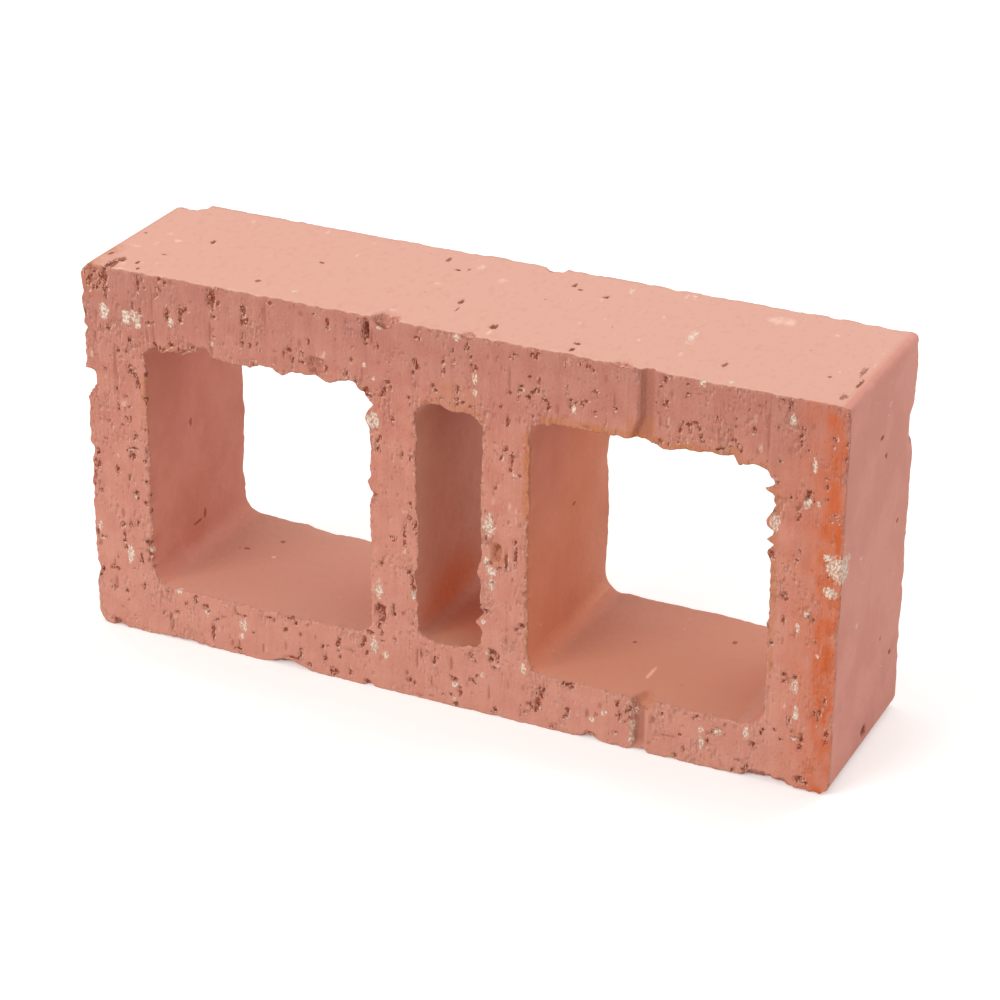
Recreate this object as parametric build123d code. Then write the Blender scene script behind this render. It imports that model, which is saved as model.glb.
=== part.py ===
from build123d import *
from math import hypot
import os

# Fired clay brick with three cells right through it, in millimetres.
# X runs along the brick, Y goes through it from cut face to cut face, and Z is up.
# It stands on one of its long narrow sides, and the origin is the middle of that footprint.

# Overall size
brick_length = 290.0
brick_height = 145.0
brick_depth = 70.0

# Walls round and between the cells, as the die sets them
end_wall = 25.0
web = 18.0
bottom_wall = 21.0
top_wall = 26.5

# The slot between the two large cells: narrower, a little shorter at both ends, and off centre
slot_width = 25.0
slot_inset = 3.4
slot_offset = 1.2

# Rounding: the four long corners and the cell corners come from the die, the arrises from the wire
corner_radius = 5.0
cell_corner_radius = 7.0
slot_corner_radius = 5.0
arris_radius = 0.8

# Groove that a pebble dragged down the front face, under the wire
groove_place = 72.2
groove_width = 5.0
groove_depth = 2.4
groove_floor_share = 0.26
groove_start = 2.3

# Notch that the pebble tore in the front arris of the right cell's floor
notch_radius = 4.2
notch_depth = 9.0

# Flakes lost from the arrises are given in this size
flake_size = 4.0

# Each flake: place, reach over the front or back face, reach over the other face, length on the arris.
# Places on level arrises are shares of half the length, and on upright ones shares of the height.
top_front_shares = [
    (-0.162, 0.90, 1.85, 2.25),
    (0.034, 0.35, 0.60, 3.0),
    (0.250, 0.32, 0.35, 3.0),
    (0.455, 0.32, 0.45, 2.8),
    (0.565, 0.42, 0.40, 1.6),
]
top_back_shares = [
    (-0.95, 0.80, 1.60, 6.0),
    (0.07, 0.45, 1.05, 2.2),
]
bottom_front_shares = [
    (-0.44, 0.48, 1.00, 3.6),
    (-0.94, 0.30, 0.45, 1.8),
]
left_front_shares = [
    (0.683, 1.15, 1.70, 2.7),
    (0.490, 0.50, 0.75, 2.1),
    (0.160, 0.42, 0.62, 1.8),
    (0.828, 0.32, 0.40, 1.1),
]
right_back_shares = [
    (0.765, 0.62, 1.50, 4.6),
]

# Torn stretches of the cells' front arrises: place as a share of the cell's width, then as above
left_cell_top_shares = [
    (0.14, 0.55, 0.55, 3.4),
    (0.33, 0.35, 0.45, 1.8),
]
right_cell_top_shares = [
    (0.43, 0.85, 0.75, 2.0),
    (0.79, 0.45, 0.60, 2.4),
]

# How far every cut runs past the surface it starts from
overrun = 10.0

# Places worked out from the sizes above
front = -brick_depth / 2
back = brick_depth / 2
left = -brick_length / 2
right = brick_length / 2
cell_floor = bottom_wall
cell_top = brick_height - top_wall
slot_left = slot_offset - slot_width / 2
slot_right = slot_offset + slot_width / 2
left_cell = (left + end_wall, slot_left - web)
right_cell = (slot_right + web, right - end_wall)

# Directions, as unit vectors
along = Vector(1, 0, 0)
inward = Vector(0, 1, 0)
upward = Vector(0, 0, 1)


def rounded_face(low_x, high_x, low_z, high_z, radius):
    """A rectangle of the brick's section with rounded corners, drawn on the middle plane."""
    middle = Pos((low_x + high_x) / 2, (low_z + high_z) / 2)
    return Plane.XZ * middle * RectangleRounded(high_x - low_x, high_z - low_z, radius)


def extruded_body():
    """The clay column as it leaves the die: the outline less its three cells, cut to the depth."""
    outline = rounded_face(left, right, 0, brick_height, corner_radius)
    cells = [
        rounded_face(*left_cell, cell_floor, cell_top, cell_corner_radius),
        rounded_face(slot_left, slot_right, cell_floor + slot_inset, cell_top - slot_inset,
                     slot_corner_radius),
        rounded_face(*right_cell, cell_floor, cell_top, cell_corner_radius),
    ]
    return extrude(outline - cells, amount=brick_depth / 2, both=True)


def ease_arrises(body):
    """Rounds every edge of the two wire-cut faces, round the outside and round each cell."""
    faces = body.faces().sort_by(Axis.Y)
    return fillet(faces[0].edges() + faces[-1].edges(), arris_radius)


def drag_groove():
    """An upright groove in the front face, steep on its left and shallow on its right."""
    profile = Polyline(
        (groove_place, front - overrun),
        (groove_place, front),
        (groove_place + groove_width * groove_floor_share, front + groove_depth),
        (groove_place + groove_width, front),
        (groove_place + groove_width, front - overrun),
        close=True,
    )
    run = brick_height - groove_start + overrun
    return Pos(0, 0, -overrun) * extrude(make_face(profile), amount=run)


def floor_notch():
    """A cone that lies along Y, with its mouth on the front face and its tip in the cell floor."""
    mouth = Plane(origin=(groove_place + groove_width, front, cell_floor), z_dir=inward)
    return mouth * Cone(notch_radius, 0, notch_depth, align=(Align.CENTER, Align.CENTER, Align.MIN))


def flake(place, over_one, over_two, reach_one, reach_two, length):
    """A shell-shaped flake off an arris, as a ball.

    The ball meets one face reach_one from the arris, the other face reach_two from it, and the
    arris itself over length.
    """
    chord = hypot(reach_one, reach_two)
    outset = chord * length**2 / (8 * reach_one * reach_two)
    middle = (over_one * reach_one + over_two * reach_two) / 2
    outwards = (over_one * reach_two + over_two * reach_one) / -chord
    return Pos(place + middle + outwards * outset) * Sphere(hypot(outset, chord / 2))


def flakes(start, run, over_one, over_two, shares):
    """The flakes of one arris, which runs from start by the vector run."""
    return [
        flake(start + run * place, over_one, over_two,
              reach_one * flake_size, reach_two * flake_size, length * flake_size)
        for place, reach_one, reach_two, length in shares
    ]


def arris_flakes():
    """All flakes: those of the outer arrises, then those of the cells' front arrises."""
    half_length = along * brick_length / 2
    full_height = upward * brick_height
    left_ceiling = Vector(left_cell[0], front, cell_top)
    right_ceiling = Vector(right_cell[0], front, cell_top)
    left_width = along * (left_cell[1] - left_cell[0])
    right_width = along * (right_cell[1] - right_cell[0])
    return (
        flakes(Vector(0, front, brick_height), half_length, -upward, inward, top_front_shares)
        + flakes(Vector(0, back, brick_height), half_length, -upward, -inward, top_back_shares)
        + flakes(Vector(0, front, 0), half_length, upward, inward, bottom_front_shares)
        + flakes(Vector(left, front, 0), full_height, along, inward, left_front_shares)
        + flakes(Vector(right, back, 0), full_height, -along, -inward, right_back_shares)
        + flakes(left_ceiling, left_width, upward, inward, left_cell_top_shares)
        + flakes(right_ceiling, right_width, upward, inward, right_cell_top_shares)
    )


brick = ease_arrises(extruded_body())
for cut in [drag_groove(), floor_notch()] + arris_flakes():
    brick = brick - cut

os.makedirs("parts", exist_ok=True)
export_step(brick, "parts/brick.step")
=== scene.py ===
import math
from itertools import product

import bpy
import numpy as np
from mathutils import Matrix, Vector


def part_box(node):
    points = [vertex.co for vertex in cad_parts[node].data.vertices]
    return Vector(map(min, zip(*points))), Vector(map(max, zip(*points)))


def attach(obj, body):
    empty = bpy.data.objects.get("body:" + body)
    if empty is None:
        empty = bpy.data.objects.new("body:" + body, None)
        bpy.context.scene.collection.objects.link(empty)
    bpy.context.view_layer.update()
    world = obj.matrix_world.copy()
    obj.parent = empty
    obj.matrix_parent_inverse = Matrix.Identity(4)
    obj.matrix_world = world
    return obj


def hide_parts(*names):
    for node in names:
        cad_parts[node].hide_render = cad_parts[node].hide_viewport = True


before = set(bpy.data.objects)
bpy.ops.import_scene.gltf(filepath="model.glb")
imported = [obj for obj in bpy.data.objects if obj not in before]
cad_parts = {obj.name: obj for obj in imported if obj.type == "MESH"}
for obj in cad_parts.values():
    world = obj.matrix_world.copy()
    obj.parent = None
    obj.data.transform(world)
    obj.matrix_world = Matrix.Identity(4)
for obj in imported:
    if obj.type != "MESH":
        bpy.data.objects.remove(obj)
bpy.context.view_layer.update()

# The viewpoint is where the photograph was taken from: to the right of the brick's middle, a metre
# away and 26 degrees above it, through a long lens. The units there are metres and degrees.
scene = bpy.context.scene
scene.view_settings.view_transform = "Standard"
lens = bpy.data.cameras.new("lens")
lens.sensor_width = 36.0
lens.lens = 110.28
viewpoint = bpy.data.objects.new("viewpoint", lens)
viewpoint.location = (0.42376, -0.88999, 0.54722)
viewpoint.rotation_euler = [math.radians(angle) for angle in (63.995, -0.324, 25.380)]
scene.collection.objects.link(viewpoint)
scene.camera = viewpoint


# The brick is one piece of stock. Clay was pushed through a die as a column with three cells right
# through it, which gave it smooth skins, and a wire then cut it to length and tore the two cut faces
# as it dragged grit down them. It was fired whole. All sizes below are in millimetres.
mm = 0.001
low, high = (np.array(corner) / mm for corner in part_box("brick"))
left, front, bottom = low
right, back, top = high

# The die: walls round the cells, the narrow slot between them, and the rounding of every corner
end_wall = 25.0
web = 18.0
bottom_wall = 21.0
top_wall = 26.5
slot_width = 25.0
slot_inset = 3.4
slot_offset = 1.2
outer_corner = 5.0
upper_right_corner = 2.6
cell_corner = 7.0
slot_corner = 5.0
slot_left = slot_offset - slot_width / 2
slot_right = slot_offset + slot_width / 2
cell_floor = bottom + bottom_wall
cell_top = top - top_wall
outline = (left, right, bottom, top, outer_corner)
left_cell = (left + end_wall, slot_left - web, cell_floor, cell_top, cell_corner)
slot = (slot_left, slot_right, cell_floor + slot_inset, cell_top - slot_inset, slot_corner)
right_cell = (slot_right + web, right - end_wall, cell_floor, cell_top, cell_corner)
cells = (left_cell, slot, right_cell)

# The grid over a cut face, and the rows of the skins behind it as (depth, every how many-th line)
grid_step = 0.79
crowding = 1.15
crowding_reach = 1.2
rim_rows = [(0, 1), (0.5, 1), (1.1, 1), (2.0, 1), (3.2, 1), (5.0, 1), (6.9, 2), (9.0, 2)]
back_rim_rows = [(64.0, 2), (66.4, 2), (68.1, 2), (69.2, 2), (70.0, 2)]
outer_rows = rim_rows + [(depth, 2) for depth in np.linspace(11.1, 61.7, 24)] + back_rim_rows
cell_rows = rim_rows + [(depth, 4) for depth in np.linspace(12.4, 58.6, 13)] + [(61.6, 2)] + back_rim_rows


def grid_lines(breaks):
    """Lines between the breaks, crowded near them: evenly spaced in the running total of a density
    of one line a step, times 1 + crowding * exp(-distance / reach), four at a time."""
    lines = [breaks[:1]]
    for start, end in zip(breaks, breaks[1:]):
        place = np.linspace(start, end, 1001)
        distance = np.minimum(place - start, end - place)
        density = (1 + crowding * np.exp(-distance / crowding_reach)) / grid_step
        total = np.concatenate([[0], np.cumsum((density[1:] + density[:-1]) / 2 * np.diff(place))])
        count = 4 * max(1, round(total[-1] / 4))
        lines.append(np.interp(total[-1] * np.arange(1, count + 1) / count, total, place))
    return np.concatenate(lines)


def cut_face(xs, zs, depth, turn):
    """The clay between the cells as a grid of squares on one plane. Square (i, j) joins lines i and
    i + 1 across with j and j + 1 up, and turn reverses it for the back."""
    points = np.stack(np.meshgrid(xs, [depth], zs, indexing="ij"), -1).reshape(-1, 3)
    middle_x = ((xs[1:] + xs[:-1]) / 2)[:, None]
    middle_z = ((zs[1:] + zs[:-1]) / 2)[None, :]
    clay = np.ones((len(xs) - 1, len(zs) - 1), bool)
    for x0, x1, z0, z1, _ in cells:
        clay &= ~((middle_x > x0) & (middle_x < x1) & (middle_z > z0) & (middle_z < z1))
    i, j = np.nonzero(clay)
    corner = i * len(zs) + j
    squares = np.stack([corner, corner + len(zs), corner + len(zs) + 1, corner + 1], 1)
    return points, squares[:, ::-1] if turn else squares


def loop_round(xs, zs, box, clockwise):
    """The closed run of grid points round a rectangle of the section, seen from the front."""
    x = xs[(xs >= box[0]) & (xs <= box[1])]
    z = zs[(zs >= box[2]) & (zs <= box[3])]
    low_run = np.stack([x[:-1], np.full(len(x) - 1, z[0])], 1)
    right_run = np.stack([np.full(len(z) - 1, x[-1]), z[:-1]], 1)
    high_run = np.stack([x[:0:-1], np.full(len(x) - 1, z[-1])], 1)
    left_run = np.stack([np.full(len(z) - 1, x[0]), z[:0:-1]], 1)
    loop = np.concatenate([low_run, right_run, high_run, left_run])
    return np.roll(loop[::-1], 1, axis=0) if clockwise else loop


def skin(loop, rows):
    """A skin along Y behind a loop: row by row, with squares between rows of like spacing, and three
    triangles to each pair of lines where the spacing doubles or halves."""
    points = []
    squares = []
    triangles = []
    start = 0
    for (depth, every), (_, next_every) in zip(rows, rows[1:] + [(0, 0)]):
        line = loop[::every]
        points.append(np.stack([line[:, 0], np.full(len(line), front + depth), line[:, 1]], 1))
        near = start + np.arange(len(line))
        start += len(line)
        if next_every == every:
            far = near + len(line)
            squares.append(np.stack([near, far, np.roll(far, -1), np.roll(near, -1)], 1))
        elif next_every > every:
            far = start + np.arange(len(line) // 2)
            first, second, third = near[::2], near[1::2], np.roll(near[::2], -1)
            far_next = np.roll(far, -1)
            triangles += [np.stack(three, 1) for three in
                          ((first, far, second), (second, far, far_next), (second, far_next, third))]
        elif next_every:
            far = start + np.arange(2 * len(line))
            first, second, third = far[::2], far[1::2], np.roll(far[::2], -1)
            near_next = np.roll(near, -1)
            triangles += [np.stack(three, 1) for three in
                          ((near, first, second), (near, second, near_next), (near_next, second, third))]
    return np.concatenate(points), np.concatenate(squares), np.concatenate(triangles)


xs = grid_lines([left, *[edge for cell in cells for edge in cell[:2]], right])
zs = grid_lines([bottom, cell_floor, slot[2], slot[3], cell_top, top])
patches = [cut_face(xs, zs, front, False), cut_face(xs[::2], zs[::2], back, True),
           skin(loop_round(xs, zs, outline, False), outer_rows)]
patches += [skin(loop_round(xs, zs, cell, True), cell_rows) for cell in cells]
starts = np.cumsum([0] + [len(patch[0]) for patch in patches])
drawn, welded = np.unique(np.round(np.concatenate([patch[0] for patch in patches]), 6), axis=0,
                          return_inverse=True)
welded = welded.reshape(-1)
squares = np.concatenate([welded[patch[1] + start] for patch, start in zip(patches, starts)])
triangles = np.concatenate([welded[patch[2] + start] for patch, start in zip(patches, starts)
                            if len(patch) > 2])
used = np.zeros(len(drawn), bool)
used[squares] = True
used[triangles] = True
renumbered = np.cumsum(used) - 1
squares = renumbered[squares]
triangles = renumbered[triangles]
drawn = drawn[used]


def rounded(x, z, corner, toward, radius, spread):
    """Bends a square corner of the section into an arc. A point e = a - b from the corner moves as
    the point of the outline there does, from the straight side onto the arc, and less deeper in."""
    a = (x - corner[0]) * toward[0]
    b = (z - corner[1]) * toward[1]
    e = np.clip((a - b) / radius, -1, 1)
    turn = math.pi / 4 * (1 - e)
    fade = np.clip(1 - np.abs(np.minimum(a, b)) / spread, 0, 1) ** 2
    move_a = radius * (1 - np.sin(turn) - np.maximum(e, 0)) * fade
    move_b = radius * (1 - np.cos(turn) - np.maximum(-e, 0)) * fade
    return x + move_a * toward[0], z + move_b * toward[1]


x, y, z = drawn.T
corner_spread = 12.0
for x0, x1, z0, z1, radius in (outline, *cells):
    for corner_x, toward_x in ((x0, 1), (x1, -1)):
        for corner_z, toward_z in ((z0, 1), (z1, -1)):
            here = upper_right_corner if (corner_x, corner_z) == (right, top) else radius
            x, z = rounded(x, z, (corner_x, corner_z), (toward_x, toward_z), here, corner_spread)


def distance_from(box, x, z):
    """Distance from a rounded rectangle, negative inside it, and the direction straight out of it."""
    x0, x1, z0, z1, radius = box
    dx = x - (x0 + x1) / 2
    dz = z - (z0 + z1) / 2
    over_x = np.abs(dx) - (x1 - x0) / 2 + radius
    over_z = np.abs(dz) - (z1 - z0) / 2 + radius
    reach = np.hypot(np.maximum(over_x, 0), np.maximum(over_z, 0))
    distance = reach + np.minimum(np.maximum(over_x, over_z), 0) - radius
    cornered = (over_x > 0) & (over_z > 0)
    out_x = np.where(cornered, over_x / np.maximum(reach, 1e-9), over_x >= over_z) * np.sign(dx)
    out_z = np.where(cornered, over_z / np.maximum(reach, 1e-9), over_x < over_z) * np.sign(dz)
    return distance, out_x, out_z


# Each point knows how deep in the clay it is, the way out of the clay, and the nearest outline point
inset, out_x, out_z = distance_from(outline, x, z)
inset = -inset
for cell in cells:
    distance, away_x, away_z = distance_from(cell, x, z)
    nearer = distance < inset
    inset = np.where(nearer, distance, inset)
    out_x = np.where(nearer, -away_x, out_x)
    out_z = np.where(nearer, -away_z, out_z)
inset = np.maximum(inset, 0)
foot_x = x + out_x * inset
foot_z = z + out_z * inset
behind = y - front
ahead = back - y
on_front = behind < 1e-6
on_back = ahead < 1e-6
on_skin = ~on_front & ~on_back
in_cell = (np.abs(foot_x) < right - end_wall / 2) & (foot_z > cell_floor / 2)
in_cell = in_cell & (foot_z < top - top_wall / 2)


def noise(size, seed, x=x, y=y, z=z):
    """Lumps of about this size (across, through, up), from -1 to 1: random heights on a lattice,
    blended between its corners by 3t^2 - 2t^3 along each axis."""
    order = np.random.default_rng(seed).permutation(512)
    heights = np.random.default_rng(seed + 1000).uniform(-1, 1, 512)
    places = [axis / length for axis, length in zip((x, y, z), size)]
    cell_index = [np.floor(place).astype(int) for place in places]
    shares = [(place - index) for place, index in zip(places, cell_index)]
    shares = [t * t * (3 - 2 * t) for t in shares]
    total = 0
    for corner in product((0, 1), repeat=3):
        key = 0
        weight = 1
        for index, t, step in zip(cell_index, shares, corner):
            key = order[(key + index + step) % 512]
            weight = weight * (t if step else 1 - t)
        total = total + weight * heights[key]
    return total


# Marks spread a little past their given size, as the clay crumbles round them, and their outlines
# are roughened by fine and by coarser noise, across, through and up
crumbled = 0.94
fine_rough = (1.1, 1.1, 1.4)
coarse_rough = (2.4, 2.4, 3.2)
coarse_share = 0.7


def near_marks(marks, roughness=0.34, seed=5):
    """How far inside the nearest oval mark each point is: 1 - r, where r is the distance from the
    mark's middle in half sizes, made ragged by noise. A mark is (x, y, z, width, depth, height)."""
    ragged = noise(fine_rough, seed) + coarse_share * noise(coarse_rough, seed + 60)
    ragged = 2 * crumbled * (1 + roughness * ragged)
    nearest = np.full(len(x), 9.0)
    which = np.zeros(len(x), int)
    for number, (mark_x, mark_y, mark_z, width, depth, height) in enumerate(marks):
        r = ragged * np.sqrt(((x - mark_x) / width) ** 2 + ((y - mark_y) / depth) ** 2
                             + ((z - mark_z) / height) ** 2)
        which = np.where(r < nearest, number, which)
        nearest = np.minimum(nearest, r)
    return 1 - nearest, which


mark_thickness = 5.0
rim_place = 0.08
rim_half_width = 0.26


def lit_rim(marks, inside, which):
    """A painted highlight on the lower right rim of each mark, in part a smeared crumb there: 1 just
    outside the oval's edge and 0 away from it, times how far the point lies to the right of and below the
    middle."""
    rows = np.array(marks)[which]
    side = (x - rows[:, 0]) / rows[:, 3] - (z - rows[:, 2]) / rows[:, 5]
    edge = np.clip(1 - np.abs(inside + rim_place) / rim_half_width, 0, 1)
    return edge * np.clip(1.6 * side + 0.1, 0, 1)


def front_marks(rows):
    """Marks on the front cut face from rows of (x, z, width, height)."""
    return [(row[0], front, row[1], row[2], mark_thickness, row[3]) for row in rows]


def top_marks(rows):
    """Marks on the upper skin from rows of (x, y, width, depth)."""
    return [(row[0], row[1], top, row[2], row[3], mark_thickness) for row in rows]


def end_marks(rows):
    """Marks on the right end from rows of (y, z, depth, height)."""
    return [(right, row[0], row[1], mark_thickness, row[2], row[3]) for row in rows]


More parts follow.
